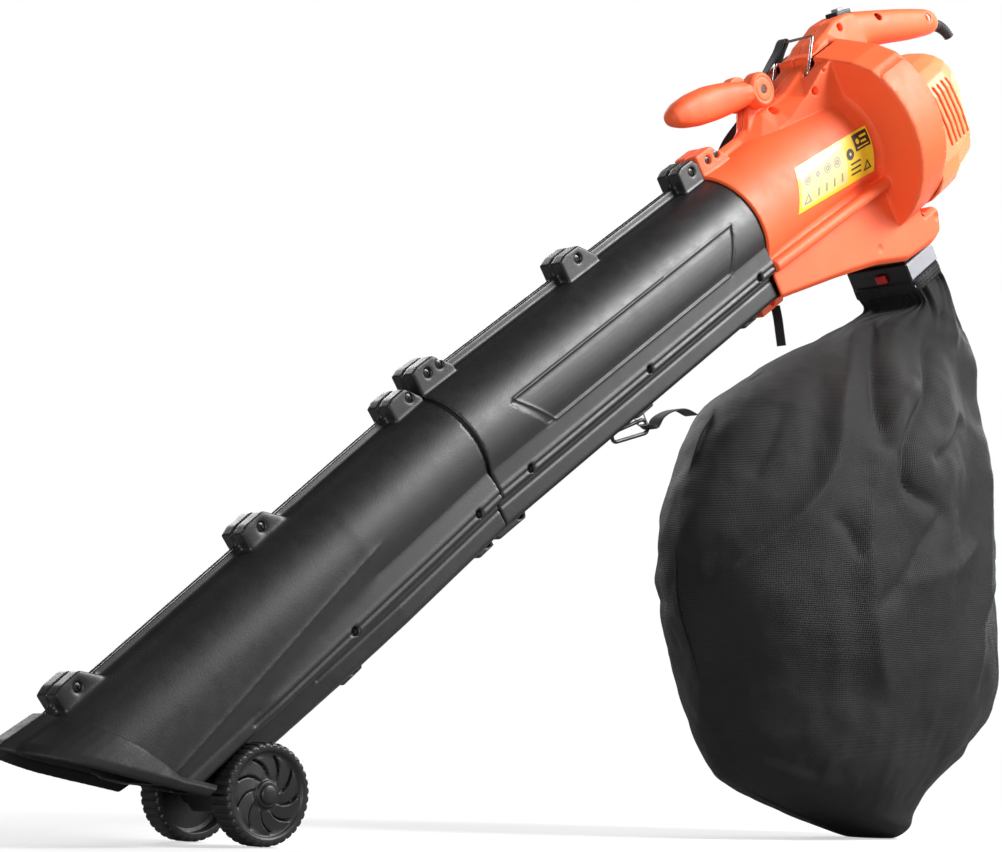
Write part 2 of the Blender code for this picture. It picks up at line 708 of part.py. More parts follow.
def impeller():
    """A back plate with curved blades that stand towards the inlet."""
    hub = turned((
        (0.0052, 0.6640), (0.0120, 0.6640), (0.0150, 0.6700), (0.0180, 0.6960), (IMPELLER_RADIUS, 0.6985),
        (IMPELLER_RADIUS, 0.7010), (0.0052, 0.7010),
    ), "X", 32, closed=True)
    for k in range(BLADES):
        turn = 2 * math.pi * k / BLADES
        face, back = [], []
        for i in range(4):
            radius = 0.0165 + (IMPELLER_RADIUS - 0.0015 - 0.0165) * i / 3
            sweep = turn + 0.55 * (i / 3) ** 1.3
            half = 0.0012 / radius
            face.append((radius * math.sin(sweep - half), radius * math.cos(sweep - half)))
            back.append((radius * math.sin(sweep + half), radius * math.cos(sweep + half)))
        hub = combine(hub, plate(face + back[::-1], 0.6690, 0.6992, "X"), "UNION")
    return hub


def ring(inner, outer, start, end, steps=24):
    return turned(((inner, start), (outer, start), (outer, end), (inner, end)), "X", steps, closed=True)


def stator():
    return ring(0.0225, 0.0305, 0.7220, 0.7640, 32)


def rotor_core():
    """The laminated core with its commutator."""
    return turned((
        (0.0052, 0.7240), (0.0215, 0.7240), (0.0215, 0.7620), (0.0120, 0.7640), (0.0120, 0.7680),
        (0.0105, 0.7680), (0.0105, 0.7770), (0.0052, 0.7770),
    ), "X", 24, closed=True)


def end_bracket(along, radius, seat):
    """A disc that holds a bearing. Spokes are left out: it is one stepped plate."""
    end = along + 0.0030
    return turned(((seat, along), (radius, along), (radius, end), (seat, end)), "X", 32, closed=True)


# ---- handles, strap ring and flap ----------------------------------------------------------------------


PADDLE = (                       # back from the pivot, up, half height, half width
    (-0.1240, 0.0255, 0.0040, 0.0060), (-0.1200, 0.0252, 0.0090, 0.0105), (-0.1060, 0.0230, 0.0145, 0.0145),
    (-0.0860, 0.0195, 0.0180, 0.0165), (-0.0580, 0.0145, 0.0192, 0.0175), (-0.0330, 0.0090, 0.0172, 0.0205),
    (-0.0150, 0.0040, 0.0140, 0.0235),
)


def front_handle():
    body_rings = []
    for along, up, high, wide in PADDLE:
        spin = []
        for i in range(16):
            angle = 2 * math.pi * i / 16
            over = math.copysign(abs(math.cos(angle)) ** 0.8, math.cos(angle))
            out = math.copysign(abs(math.sin(angle)) ** 0.8, math.sin(angle))
            spin.append(Vector((along, wide * out, up + high * over)))
        body_rings.append(spin)
    body = loft(body_rings)
    ears = rounded(rod((0, -0.0235, 0), (0, 0.0235, 0), 0.0185, 24), 0.003, 1)
    body = combine(body, ears, "UNION")
    slot = rod((0, -0.0090, 0), (0, 0.0090, 0), 0.0240, 24)
    return cut(body, slot, rod((0, -0.1, 0), (0, 0.1, 0), 0.0044, 16))


def handle_bolt():
    """Flush on the left, with a hand knob on the right."""
    return turned((
        (0.0, -0.0225), (0.0040, -0.0225), (0.0040, 0.0240), (0.0110, 0.0240), (0.0120, 0.0255),
        (0.0120, 0.0310), (0.0100, 0.0330), (0.0, 0.0330),
    ), "Y", 20)


def strap_ring():
    near, far = Vector((0, -1, 0)), Vector((0, 1, 0))
    bend = 0.0025
    points = [near * 0.0120, near * (RING_HALF - bend), near * RING_HALF + RING_REACH.normalized() * bend,
              near * RING_HALF + RING_REACH * 0.94, near * (RING_HALF - bend) + RING_REACH,
              far * (RING_HALF - bend) + RING_REACH, far * RING_HALF + RING_REACH * 0.94,
              far * RING_HALF + RING_REACH.normalized() * bend, far * (RING_HALF - bend), far * 0.0120]
    return wire(points, RING_WIRE, sides=1)


def mode_flap():
    """The flap that turns the air to the bag or to the blow duct, on its shaft."""
    shaft = rod((0, -0.0465, 0), (0, 0.0600, 0), 0.0040, 16)
    return combine(shaft, box((-0.0016, -0.0455, 0), (0.0016, 0.0455, 0.0370)), "UNION")


def mode_lever():
    knob = rounded(rod((0, 0.0508, 0), (0, 0.0590, 0), 0.0150, 20), 0.0015, 1)
    arm = rounded(box((-0.0050, 0.0545, -0.0060), (0.0050, 0.0625, 0.0200)), 0.0015, 1)
    return cut(combine(knob, arm, "UNION"), rod((0, 0, 0), (0, 0.0603, 0), 0.0043, 16))


def screw(half):
    """A pan head screw that runs across the machine, with its head on the left."""
    return turned((
        (0.0, -half - 0.0020), (0.0034, -half - 0.0015), (0.0040, -half), (0.0020, -half), (0.0020, half),
        (0.0, half),
    ), "Y", 8)


# ---- bag and straps ------------------------------------------------------------------------------------


def to_world(point):
    """From the machine's own axes to the floor's."""
    turn = Matrix.Rotation(-PITCH, 4, "Y")
    return turn @ Vector(point) + Vector((JOINT_X, 0, JOINT_HEIGHT))


BAG = (                          # height, middle (ahead of the tube joint), half length, half width
    (0.000, 0.6150, 0.0360, 0.0420), (0.012, 0.6000, 0.0520, 0.0500), (0.030, 0.5700, 0.0930, 0.0620),
    (0.058, 0.5450, 0.1440, 0.0800), (0.095, 0.5560, 0.1835, 0.0954), (0.152, 0.5654, 0.2147, 0.1116),
    (0.226, 0.5470, 0.2310, 0.1204), (0.294, 0.5456, 0.2323, 0.1208), (0.353, 0.5497, 0.2217, 0.1153),
    (0.411, 0.5616, 0.2048, 0.1065), (0.465, 0.5914, 0.1629, 0.0847), (0.515, 0.6418, 0.1097, 0.0590),
    (0.545, 0.6640, 0.0700, 0.0500),
)


def bag_ring(height, middle, half_length, half_width, inset=0.0):
    ring_points = []
    for i in range(BAG_SIDES):
        angle = 2 * math.pi * i / BAG_SIDES
        ring_points.append(Vector((
            JOINT_X + middle + (half_length - inset) * math.cos(angle),
            (half_width - inset) * math.sin(angle), height,
        )))
    return ring_points


def bag_mouth(inset=0.0, down=0.0):
    """The bag's neck, square to the outlet rather than to the floor."""
    ring_points = []
    for i in range(BAG_SIDES):
        angle = 2 * math.pi * i / BAG_SIDES
        along = math.copysign(abs(math.cos(angle)) ** 0.35, math.cos(angle))
        across = math.copysign(abs(math.sin(angle)) ** 0.35, math.sin(angle))
        middle = (OUTLET_LOW + OUTLET_HIGH) / 2
        ring_points.append(to_world((
            middle + (0.0275 - inset) * along, (0.0420 - inset) * across, -0.1765 - down,
        )))
    return ring_points


def leaf_bag():
    outer = [bag_ring(*station) for station in BAG] + [bag_mouth(0.0, 0.018), bag_mouth()]
    inner = [bag_ring(height + (0.0016 if i == 0 else 0.0), *rest, inset=BAG_WALL)
             for i, (height, *rest) in enumerate(BAG)]
    inner += [bag_mouth(BAG_WALL, 0.018), bag_mouth(BAG_WALL)]
    return loft(outer + inner[::-1])


def hung(points):
    return [Vector(point) for point in points]


def band(points, half_width, thickness):
    """A strap whose flat faces look away from the tube's axis."""
    def across(i):
        along = (points[min(i + 1, len(points) - 1)] - points[max(i - 1, 0)]).normalized()
        outward = Vector((0, points[i].y, points[i].z)).normalized()
        return along.cross(outward).normalized() * half_width

    return ribbon(points, across, thickness)


SHOULDER_STRAP = (
    (0.6560, 0.0395, 0.0995), (0.6320, 0.0400, 0.0930), (0.6080, 0.0410, 0.0800), (0.5880, 0.0440, 0.0650),
    (0.5720, 0.0530, 0.0480), (0.5620, 0.0625, 0.0250), (0.5580, 0.0660, 0.0000),
    (0.5620, 0.0675, -0.0260), (0.5750, 0.0690, -0.0500), (0.5960, 0.0715, -0.0720),
    (0.6240, 0.0740, -0.0890), (0.6500, 0.0745, -0.0985), (0.6740, 0.0735, -0.1035),
    (0.6915, 0.0680, -0.1115),
)
HOOK_STRAP = (
    (0.2545, 0, -0.1170), (0.2680, 0, -0.1130), (0.2840, 0, -0.1150), (0.3000, 0, -0.1220),
    (0.3110, 0, -0.1340),
)
FRONT_STRAP = ((0.4860, 0, -0.1030), (0.4820, 0, -0.1160), (0.4765, 0, -0.1290), (0.4710, 0, -0.1420))
HOOK_ENDS = ((0.2060, -0.0990), (0.2445, -0.1096))


def hook_loop():
    """A closed hook round the eye's bar."""
    start, end = Vector(HOOK_ENDS[0]), Vector(HOOK_ENDS[1])
    lean = math.degrees(math.atan2(end.y - start.y, end.x - start.x))
    points = []
    for i in range(7):
        turn = math.radians(lean - 90 + 180 * i / 6)
        points.append((end.x + 0.0068 * math.cos(turn), 0, end.y + 0.0068 * math.sin(turn)))
    for i in range(7):
        turn = math.radians(lean + 90 + 180 * i / 6)
        points.append((start.x + 0.0050 * math.cos(turn), 0, start.y + 0.0050 * math.sin(turn)))
    return wire(points, 0.0022, cyclic=True)


# ---- assembly ------------------------------------------------------------------------------------------


clear_scene()
parts = bpy.data.collections.new("leaf_vacuum_mulcher")
bpy.context.scene.collection.children.link(parts)

orange = material("orange_plastic", (0.90, 0.16, 0.05), 0.38)
black = material("black_plastic", (0.025, 0.025, 0.027), 0.45)
wheel_black = material("wheel_plastic", (0.03, 0.03, 0.032), 0.55)
steel = material("steel", (0.62, 0.62, 0.63), 0.30, 1.0)
lamination = material("lamination", (0.32, 0.31, 0.30), 0.45, 1.0)
copper = material("copper", (0.72, 0.42, 0.26), 0.35, 1.0)
grey = material("grey_plastic", (0.45, 0.45, 0.46), 0.45)
red = material("red_plastic", (0.65, 0.03, 0.03), 0.40)
rubber = material("rubber", (0.03, 0.03, 0.03), 0.75)
webbing = material("webbing", (0.03, 0.03, 0.03), 0.90)
fabric = material("bag_fabric", (0.035, 0.035, 0.035), 0.95)

machine = bpy.data.objects.new("machine_axis", None)
machine.location = (JOINT_X, 0, JOINT_HEIGHT)
machine.rotation_euler = (0, -PITCH, 0)
parts.objects.link(machine)
lower_axis = bpy.data.objects.new("lower_tube_axis", None)
lower_axis.parent = machine
lower_axis.rotation_euler = (0, -BEND, 0)
parts.objects.link(lower_axis)


def both_sides(name, half, slot, parent):
    node(name + "_right", half, slot, parent)
    node(name + "_left", mirrored(half), slot, parent)


def add_tubes():
    both_sides("upper_tube", upper_half(), black, machine)
    both_sides("lower_tube", lower_half(), black, lower_axis)
    node("nozzle_shoe", nozzle_shoe(), black, lower_axis)
    node("axle_bracket", axle_bracket(), black, lower_axis)
    axle = Vector((AXLE_X, 0, AXLE_Z))
    node("axle", rod((0, -0.0592, 0), (0, 0.0592, 0), AXLE_RADIUS, 20), steel, lower_axis, axle)
    right_wheel = wheel()
    node("wheel_left", mirrored(right_wheel), wheel_black, lower_axis, axle)
    node("wheel_right", right_wheel, wheel_black, lower_axis, axle)
    for side, name in ((-1, "axle_cap_left"), (1, "axle_cap_right")):
        cap = turned(((0.0, 0.0595), (0.0080, 0.0603), (0.0075, 0.0617), (0.0, 0.0625)), "Y", 20)
        node(name, cap if side > 0 else mirrored(cap), steel, lower_axis, axle)


def cord_boot():
    """A ribbed sleeve, open at its end, that bends down from the end of the grip."""
    length, count, sides = 0.0300, 14, 14
    place = Vector((0, 0, 0))
    line, rings = [], []
    for i in range(count + 1):
        lean = math.radians(blended(24, 76, i / count))
        along = Vector((math.cos(lean), 0, -math.sin(lean)))
        radius = blended(0.0066, 0.0048, i / count) - (0.0006 if i % 2 else 0)
        spin = [2 * math.pi * k / sides for k in range(sides)]
        up = Vector((math.sin(lean), 0, math.cos(lean)))
        rings.append([place + radius * (up * math.cos(a) + Vector((0, math.sin(a), 0))) for a in spin])
        line.append(place.copy())
        place += along * length / count
    return cut(loft(rings), wire(line[2:] + [place], 0.0022, sides=1))


def add_housing():
    right = housing_half()
    left = mirrored(right)
    flap_hole = rod((FLAP_PIVOT.x, 0.03, FLAP_PIVOT.z), (FLAP_PIVOT.x, 0.07, FLAP_PIVOT.z), 0.0043, 16)
    node("housing_right", sealed(cut(right, flap_hole)), orange, machine)
    node("housing_left", left, orange, machine)
    node("motor_cover", motor_cover(), orange, machine)
    spigot = rectangular_tube(
        (OUTLET_LOW + GAP, -OUTLET_HALF + GAP, -0.1740), (OUTLET_HIGH - GAP, OUTLET_HALF - GAP, -0.1380),
        (OUTLET_LOW + WALL, -OUTLET_HALF + WALL, -0.2), (OUTLET_HIGH - WALL, OUTLET_HALF - WALL, -0.1),
    )
    node("outlet_spigot", spigot, black, machine)
    collar = rectangular_tube(
        (OUTLET_LOW - 0.0045, -OUTLET_HALF - 0.0035, -0.1760),
        (OUTLET_HIGH + 0.0045, OUTLET_HALF + 0.0035, -0.1464),
        (OUTLET_LOW - GAP, -OUTLET_HALF - GAP, -0.2), (OUTLET_HIGH + GAP, OUTLET_HALF + GAP, -0.1),
    )
    collar = cut(collar, box((0.6500, -0.0110, -0.1640), (0.6570, 0.0030, -0.1540)))
    node("bag_collar", collar, black, machine)
    button = rounded(box((-0.0026, -0.0066, -0.0046), (0.0018, 0.0066, 0.0046)), 0.0010)
    node("bag_latch", button, red, machine, (0.6530, -0.0040, -0.1590))
    node("switch_bezel", cut(
        rounded(box((-0.0125, -0.0082, -0.0030), (0.0125, 0.0082, 0.0030)), 0.0010),
        box((-0.0095, -0.0052, -0.01), (0.0095, 0.0052, 0.01)),
    ), black, machine, SWITCH_PLACE)
    bpy.data.objects["switch_bezel"].rotation_euler = (0, SWITCH_LEAN, 0)
    key = rounded(box((-0.0055, -0.0046, -0.0020), (0.0055, 0.0046, 0.0062)), 0.0010)
    node("power_switch", key, grey, machine, SWITCH_PLACE)
    bpy.data.objects["power_switch"].rotation_euler = (0, SWITCH_LEAN, 0)
    module = rounded(box((0.776, -0.0085, 0.0690), (0.800, 0.0085, 0.0830)), 0.0010)
    node("switch_module", module, grey, machine)
    node("cord_boot", cord_boot(), rubber, machine, (0.9060, 0, 0.0330))


def add_motor():
    node("impeller", impeller(), steel, machine)
    nut = turned(((0.0, 0.6540), (0.0070, 0.6560), (0.0085, 0.6637), (0.0, 0.6637)), "X", 6)
    node("impeller_nut", nut, steel, machine)
    node("motor_shaft", rod((0.6640, 0, 0), (0.7900, 0, 0), 0.0049, 16), steel, machine)
    node("rotor_core", rotor_core(), copper, machine)
    node("cooling_fan", cooling_fan(), grey, machine)
    node("stator", stator(), lamination, machine)
    node("front_bracket", end_bracket(0.7055, 0.0336, 0.0112), steel, machine)
    node("rear_bracket", end_bracket(0.7830, 0.0240, 0.0112), steel, machine)
    node("front_bearing", ring(0.0053, 0.0109, 0.7053, 0.7087, 24), steel, machine)
    node("rear_bearing", ring(0.0053, 0.0109, 0.7828, 0.7862, 24), steel, machine)
    for side, name in ((-1, "brush_holder_left"), (1, "brush_holder_right")):
        low, high = sorted((side * 0.0115, side * 0.0280))
        node(name, rounded(box((0.7690, low, -0.0040), (0.7760, high, 0.0040)), 0.0006, 1), copper, machine)


def cooling_fan():
    fan = ring(0.0052, 0.0120, 0.7110, 0.7200, 24)
    for k in range(6):
        blade = box((0.7115, -0.0010, 0.0100), (0.7195, 0.0010, 0.0280))
        blade.transform(Matrix.Rotation(2 * math.pi * k / 6, 4, "X"))
        fan = combine(fan, blade, "UNION")
    return fan


def add_handles():
    node("front_handle", front_handle(), orange, machine, HANDLE_PIVOT)
    node("handle_bolt", handle_bolt(), black, machine, HANDLE_PIVOT)
    node("strap_ring", strap_ring(), steel, machine, RING_PIVOT)
    node("mode_flap", mode_flap(), black, machine, FLAP_PIVOT)
    node("mode_lever", mode_lever(), black, machine, FLAP_PIVOT)


def add_bag():
    node("leaf_bag", leaf_bag(), fabric)
    node("shoulder_strap", band(hung(SHOULDER_STRAP), 0.0125, 0.0020), webbing, machine)
    anchor = rounded(box((0.6920, 0.0503, -0.1280), (0.7140, 0.0580, -0.1140)), 0.0020)
    node("strap_anchor", anchor, black, machine)
    node("hook_eye", wire((
        (0.2460, -0.0070, -0.0960), (0.2460, -0.0070, -0.1065), (0.2460, -0.0055, -0.1080),
        (0.2460, 0.0055, -0.1080), (0.2460, 0.0070, -0.1065), (0.2460, 0.0070, -0.0960),
    ), 0.0013), steel, machine)
    node("snap_hook", hook_loop(), black, machine)
    node("hook_strap", band(hung(HOOK_STRAP), 0.0090, 0.0018), webbing, machine)
    node("front_strap", band(hung(FRONT_STRAP), 0.0060, 0.0015), webbing, machine)


def add_screws():
    rows = (
        ("upper", UPPER_SCREWS, machine),
        ("lower", LOWER_SCREWS, lower_axis),
        ("housing", HOUSING_SCREWS[:2], machine),
    )
    for place, spots, parent in rows:
        for number, (along, up, half) in enumerate(spots, 1):
            node(f"screw_{place}_{number}", screw(half - SINK + GAP), steel, parent, (along, 0, up))


add_tubes()
add_housing()
add_motor()
add_handles()
add_bag()
add_screws()
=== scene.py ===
"""Looks of the leaf vacuum mulcher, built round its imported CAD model. Metres, in the model's own frame."""

import json
import math

import bmesh
import bpy
import numpy as np
from mathutils import Matrix, Vector, noise


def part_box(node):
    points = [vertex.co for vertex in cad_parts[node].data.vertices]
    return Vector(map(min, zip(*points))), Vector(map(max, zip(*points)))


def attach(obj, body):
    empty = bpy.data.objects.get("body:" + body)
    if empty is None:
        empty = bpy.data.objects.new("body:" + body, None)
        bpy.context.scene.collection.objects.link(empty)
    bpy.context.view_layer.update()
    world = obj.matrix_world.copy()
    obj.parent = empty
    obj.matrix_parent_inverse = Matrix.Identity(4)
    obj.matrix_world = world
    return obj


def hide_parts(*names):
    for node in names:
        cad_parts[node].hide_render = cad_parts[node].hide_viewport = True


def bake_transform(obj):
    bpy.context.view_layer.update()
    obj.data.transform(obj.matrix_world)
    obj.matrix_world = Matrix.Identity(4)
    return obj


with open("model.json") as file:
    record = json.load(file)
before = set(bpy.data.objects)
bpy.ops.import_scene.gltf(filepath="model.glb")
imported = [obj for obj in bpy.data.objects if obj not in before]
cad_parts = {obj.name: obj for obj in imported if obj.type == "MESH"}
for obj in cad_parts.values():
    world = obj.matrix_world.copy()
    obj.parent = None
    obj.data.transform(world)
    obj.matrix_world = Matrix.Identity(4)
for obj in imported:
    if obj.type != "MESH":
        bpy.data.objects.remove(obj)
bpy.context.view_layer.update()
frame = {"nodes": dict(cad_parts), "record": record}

NODES = frame["nodes"]
BODY_OF = {node: body for body, nodes in frame["record"]["behaviour"]["bodies"].items() for node in nodes}
SLOT_OF = {part["node"]: part["material_slot"] for part in frame["record"]["subparts"]}

# The machine's own axes: +X up the tube from nozzle to motor, +Y to its right, +Z to its top seam.
PITCH = math.radians(35.5)
BEND = math.radians(3.2)
JOINT = Vector((-0.1674, 0, 0.3427))
MACHINE = Matrix.Translation(JOINT) @ Matrix.Rotation(-PITCH, 4, "Y")
LOWER = MACHINE @ Matrix.Rotation(-BEND, 4, "Y")
ROW = Matrix.Identity(4)


# ---- materials -----------------------------------------------------------------------------------------


def link(tree, socket, value):
    if isinstance(value, bpy.types.NodeSocket):
        tree.links.new(value, socket)
    else:
        socket.default_value = value


def add(tree, kind, inputs=(), **settings):
    """A shader node with its settings, and its inputs by name or number."""
    made = tree.nodes.new("ShaderNode" + kind)
    for name, value in settings.items():
        setattr(made, name, value)
    for name, value in dict(inputs).items():
        link(tree, made.inputs[name], value)
    return made


def start(name, **sockets):
    material = bpy.data.materials.new(name)
    material.use_nodes = True
    tree = material.node_tree
    shader = tree.nodes["Principled BSDF"]
    for socket, value in sockets.items():
        shader.inputs[socket.replace("_", " ")].default_value = value
    return material, tree, shader


def spots(tree, where, scale, detail=2.0, roughness=0.5):
    return add(tree, "TexNoise", {"Vector": where, "Scale": scale, "Detail": detail,
                                  "Roughness": roughness}).outputs[0]


def between(tree, value, low, high, to_low, to_high):
    return add(tree, "MapRange", {"Value": value, "From Min": low, "From Max": high,
                                  "To Min": to_low, "To Max": to_high}).outputs[0]


def mixed(tree, factor, first, second):
    made = add(tree, "Mix", {0: factor}, data_type="RGBA")
    link(tree, made.inputs[6], first)
    link(tree, made.inputs[7], second)
    return made.outputs[2]


def bumped(tree, shader, height, distance, strength=1.0, before=None):
    inputs = {"Height": height, "Distance": distance, "Strength": strength}
    if before:
        inputs["Normal"] = before
    made = add(tree, "Bump", inputs).outputs[0]
    tree.links.new(made, shader.inputs["Normal"])
    return made


def moulded_plastic(name, colour, deep, worn, roughness, grain=0.00010, grain_scale=1300.0, wear=0.55,
                    **sockets):
    """Injection-moulded plastic: fine spark-eroded grain, slow mottling and rubbed edges."""
    material, tree, shader = start(name, **sockets)
    where = add(tree, "TexCoord").outputs["Object"]
    slow = spots(tree, where, 11.0, 4.0)
    fine = spots(tree, where, grain_scale, 1.0)
    smear = spots(tree, where, 55.0, 5.0, 0.65)
    base = mixed(tree, between(tree, slow, 0.3, 0.7, 0.0, 1.0), (*deep, 1), (*colour, 1))
    edge = between(tree, add(tree, "NewGeometry").outputs["Pointiness"], 0.525, 0.64, 0.0, wear)
    rubbed = add(tree, "Math", {0: edge, 1: smear}, operation="MULTIPLY").outputs[0]
    tree.links.new(mixed(tree, rubbed, base, (*worn, 1)), shader.inputs["Base Color"])
    rough = add(tree, "Math", {0: between(tree, smear, 0.3, 0.7, roughness - 0.05, roughness + 0.06),
                               1: between(tree, fine, 0.3, 0.7, -0.03, 0.04)}, operation="ADD").outputs[0]
    tree.links.new(rough, shader.inputs["Roughness"])
    soft = bumped(tree, shader, slow, 0.0006, 0.5)
    bumped(tree, shader, fine, grain, 0.55, soft)
    return material


def metal(name, colour, deep, roughness, stretch=(40.0, 900.0, 900.0), **sockets):
    """Drawn or turned metal, brushed one way and slightly stained."""
    material, tree, shader = start(name, Metallic=1.0, **sockets)
    where = add(tree, "TexCoord").outputs["Object"]
    along = add(tree, "Mapping", {"Vector": where, "Scale": stretch}).outputs[0]
    brushed = spots(tree, along, 1.0, 3.0)
    stain = spots(tree, where, 60.0, 4.0)
    tree.links.new(mixed(tree, stain, (*deep, 1), (*colour, 1)), shader.inputs["Base Color"])
    rough = add(tree, "Math", {0: between(tree, brushed, 0.3, 0.7, roughness - 0.06, roughness + 0.1),
                               1: between(tree, stain, 0.4, 0.7, 0.0, 0.08)}, operation="ADD").outputs[0]
    tree.links.new(rough, shader.inputs["Roughness"])
    bumped(tree, shader, brushed, 0.00003, 0.6)
    return material


def woven(name, colour, deep, pitch, depth, roughness, fuzz, blotch=0.35, gloss=0.5):
    """Plain-woven yarn. The piece's UV map is in metres, so the weave has its real size."""
    material, tree, shader = start(name, Sheen_Weight=fuzz, Sheen_Roughness=0.5)
    shader.inputs["Sheen Tint"].default_value = (0.75, 0.75, 0.78, 1)
    shader.inputs["Specular IOR Level"].default_value = gloss
    cloth = add(tree, "TexCoord").outputs["UV"]
    where = add(tree, "TexCoord").outputs["Object"]
    noise_colour = add(tree, "TexNoise", {"Vector": where, "Scale": 260.0}).outputs[1]
    drift = add(tree, "VectorMath", {0: noise_colour, 1: (pitch * 0.5,) * 3}, operation="MULTIPLY").outputs[0]
    wander = add(tree, "VectorMath", {0: cloth, 1: drift}, operation="ADD").outputs[0]
    yarns = []
    for direction in ("X", "Y"):
        wave = add(tree, "TexWave", {"Vector": wander, "Scale": 0.314 / pitch, "Distortion": 0.0},
                   wave_type="BANDS", bands_direction=direction)
        yarns.append(wave.outputs["Fac"])
    over = add(tree, "Math", {0: yarns[0], 1: yarns[1]}, operation="MULTIPLY").outputs[0]
    fibre = spots(tree, where, 1700.0, 3.0)
    cloud = spots(tree, where, 14.0, 5.0, 0.6)
    lit_yarn = add(tree, "Math", {0: over, 1: 0.45}, operation="MULTIPLY").outputs[0]
    lit_cloud = add(tree, "Math", {0: cloud, 1: blotch}, operation="MULTIPLY").outputs[0]
    light = add(tree, "Math", {0: lit_yarn, 1: lit_cloud}, operation="ADD").outputs[0]
    tree.links.new(mixed(tree, light, (*deep, 1), (*colour, 1)), shader.inputs["Base Color"])
    rough = between(tree, fibre, 0.2, 0.8, roughness - 0.1, roughness + 0.1)
    tree.links.new(rough, shader.inputs["Roughness"])
    first = bumped(tree, shader, over, depth, 0.8)
    bumped(tree, shader, fibre, depth * 0.4, 0.7, first)
    return material


def sticker(name, colour, deep):
    """Printed and laminated vinyl."""
    material, tree, shader = start(name, Coat_Weight=0.25, Coat_Roughness=0.2)
    where = add(tree, "TexCoord").outputs["Object"]
    tint = spots(tree, where, 40.0, 3.0)
    tree.links.new(mixed(tree, tint, (*deep, 1), (*colour, 1)), shader.inputs["Base Color"])
    rough = between(tree, spots(tree, where, 300.0), 0.3, 0.7, 0.38, 0.5)
    tree.links.new(rough, shader.inputs["Roughness"])
    bumped(tree, shader, tint, 0.0002, 0.3)
    return material


BLACK_GRAIN = {"grain": 0.00016, "grain_scale": 700.0, "wear": 0.25}
ORANGE_GRAIN = {"grain": 0.00008, "grain_scale": 900.0}
FINISH = {
    "orange_plastic": moulded_plastic(
        "orange_plastic", (0.95, 0.135, 0.034), (0.92, 0.108, 0.026), (0.98, 0.30, 0.14), 0.58,
        **ORANGE_GRAIN),
    "black_plastic": moulded_plastic(
        "black_plastic", (0.0100, 0.0100, 0.0105), (0.0070, 0.0070, 0.0075), (0.05, 0.05, 0.05), 0.45,
        **BLACK_GRAIN, Specular_IOR_Level=0.58),
    "wheel_plastic": moulded_plastic(
        "wheel_plastic", (0.0100, 0.0100, 0.0105), (0.0070, 0.0070, 0.0075), (0.05, 0.05, 0.05), 0.46,
        0.00014, 700.0, 0.3),
    "grey_plastic": moulded_plastic(
        "grey_plastic", (0.34, 0.34, 0.35), (0.26, 0.26, 0.27), (0.5, 0.5, 0.5), 0.4),
    "red_plastic": moulded_plastic(
        "red_plastic", (0.62, 0.02, 0.02), (0.5, 0.015, 0.015), (0.8, 0.2, 0.2), 0.35),
    "rubber": moulded_plastic(
        "rubber", (0.020, 0.020, 0.021), (0.013, 0.013, 0.014), (0.05, 0.05, 0.05), 0.62),
    "steel": metal("steel", (0.62, 0.62, 0.63), (0.46, 0.46, 0.47), 0.26),
    "lamination": metal("lamination", (0.30, 0.29, 0.28), (0.16, 0.15, 0.14), 0.45, (2600.0, 30.0, 30.0)),
    "copper": metal("copper", (0.76, 0.40, 0.22), (0.48, 0.20, 0.10), 0.33, (30.0, 1800.0, 1800.0)),
    "webbing": woven(
        "webbing", (0.024, 0.024, 0.026), (0.006, 0.006, 0.007), 0.0014, 0.0003, 0.85, 0.15),
    "bag_fabric": woven(
        "bag_fabric", (0.021, 0.021, 0.0215), (0.0035, 0.0035, 0.004), 0.0013, 0.00080, 0.60, 0.015,
        blotch=0.6, gloss=0.26),
}
MATT_BLACK = moulded_plastic(
    "matt_black_plastic", (0.0085, 0.0085, 0.0090), (0.0060, 0.0060, 0.0065), (0.04, 0.04, 0.04), 0.56,
    **BLACK_GRAIN, Specular_IOR_Level=0.3)
BLACK_SCREW = metal("blackened_screw", (0.10, 0.10, 0.10), (0.03, 0.03, 0.03), 0.35)
# A paler copy of the orange plastic: painted highlight, for the light falling on the motor cover.
ORANGE_WITH_PAINTED_HIGHLIGHT = moulded_plastic(
    "orange_plastic_painted_highlight", (0.93, 0.26, 0.10), (0.90, 0.22, 0.075), (0.98, 0.4, 0.2), 0.50, **ORANGE_GRAIN)
# A pale, partly metallic grey: painted highlight on the sheet that stands for the lit left side of the black
# bag collar, and the finish of the thin stripe under it.
GREY_WITH_PAINTED_HIGHLIGHT = moulded_plastic(
    "grey_plastic_painted_highlight", (0.30, 0.30, 0.32), (0.24, 0.24, 0.26), (0.5, 0.5, 0.5), 0.4, Metallic=0.6)
YELLOW_VINYL = sticker("yellow_vinyl", (0.93, 0.66, 0.02), (0.86, 0.56, 0.015))
PALE_VINYL = sticker("pale_yellow_vinyl", (0.74, 0.62, 0.24), (0.70, 0.56, 0.18))
GREY_INK = sticker("grey_ink", (0.30, 0.29, 0.24), (0.22, 0.21, 0.17))
BLACK_INK = sticker("black_ink", (0.02, 0.02, 0.02), (0.012, 0.012, 0.012))


# ---- meshes --------------------------------------------------------------------------------------------


def evaluated(mesh, add_modifiers):
    holder = bpy.data.objects.new("holder", mesh)
    bpy.context.scene.collection.objects.link(holder)
    add_modifiers(holder)
    result = bpy.data.meshes.new_from_object(holder.evaluated_get(bpy.context.evaluated_depsgraph_get()))
    bpy.data.objects.remove(holder)
    return result


def from_bmesh(work, name="shape"):
    bmesh.ops.recalc_face_normals(work, faces=work.faces)
    mesh = bpy.data.meshes.new(name)
    work.to_mesh(mesh)
    work.free()
    return mesh


def stitch(work, rings):
    """Faces between each closed ring and the next, and between the last and the first."""
    for first, second in zip(rings, rings[1:] + rings[:1]):
        for k in range(len(first)):
            n = (k + 1) % len(first)
            work.faces.new((first[k], first[n], second[n], second[k]))


def joined(*meshes):
    work = bmesh.new()
    for mesh in meshes:
        work.from_mesh(mesh)
    return from_bmesh(work)


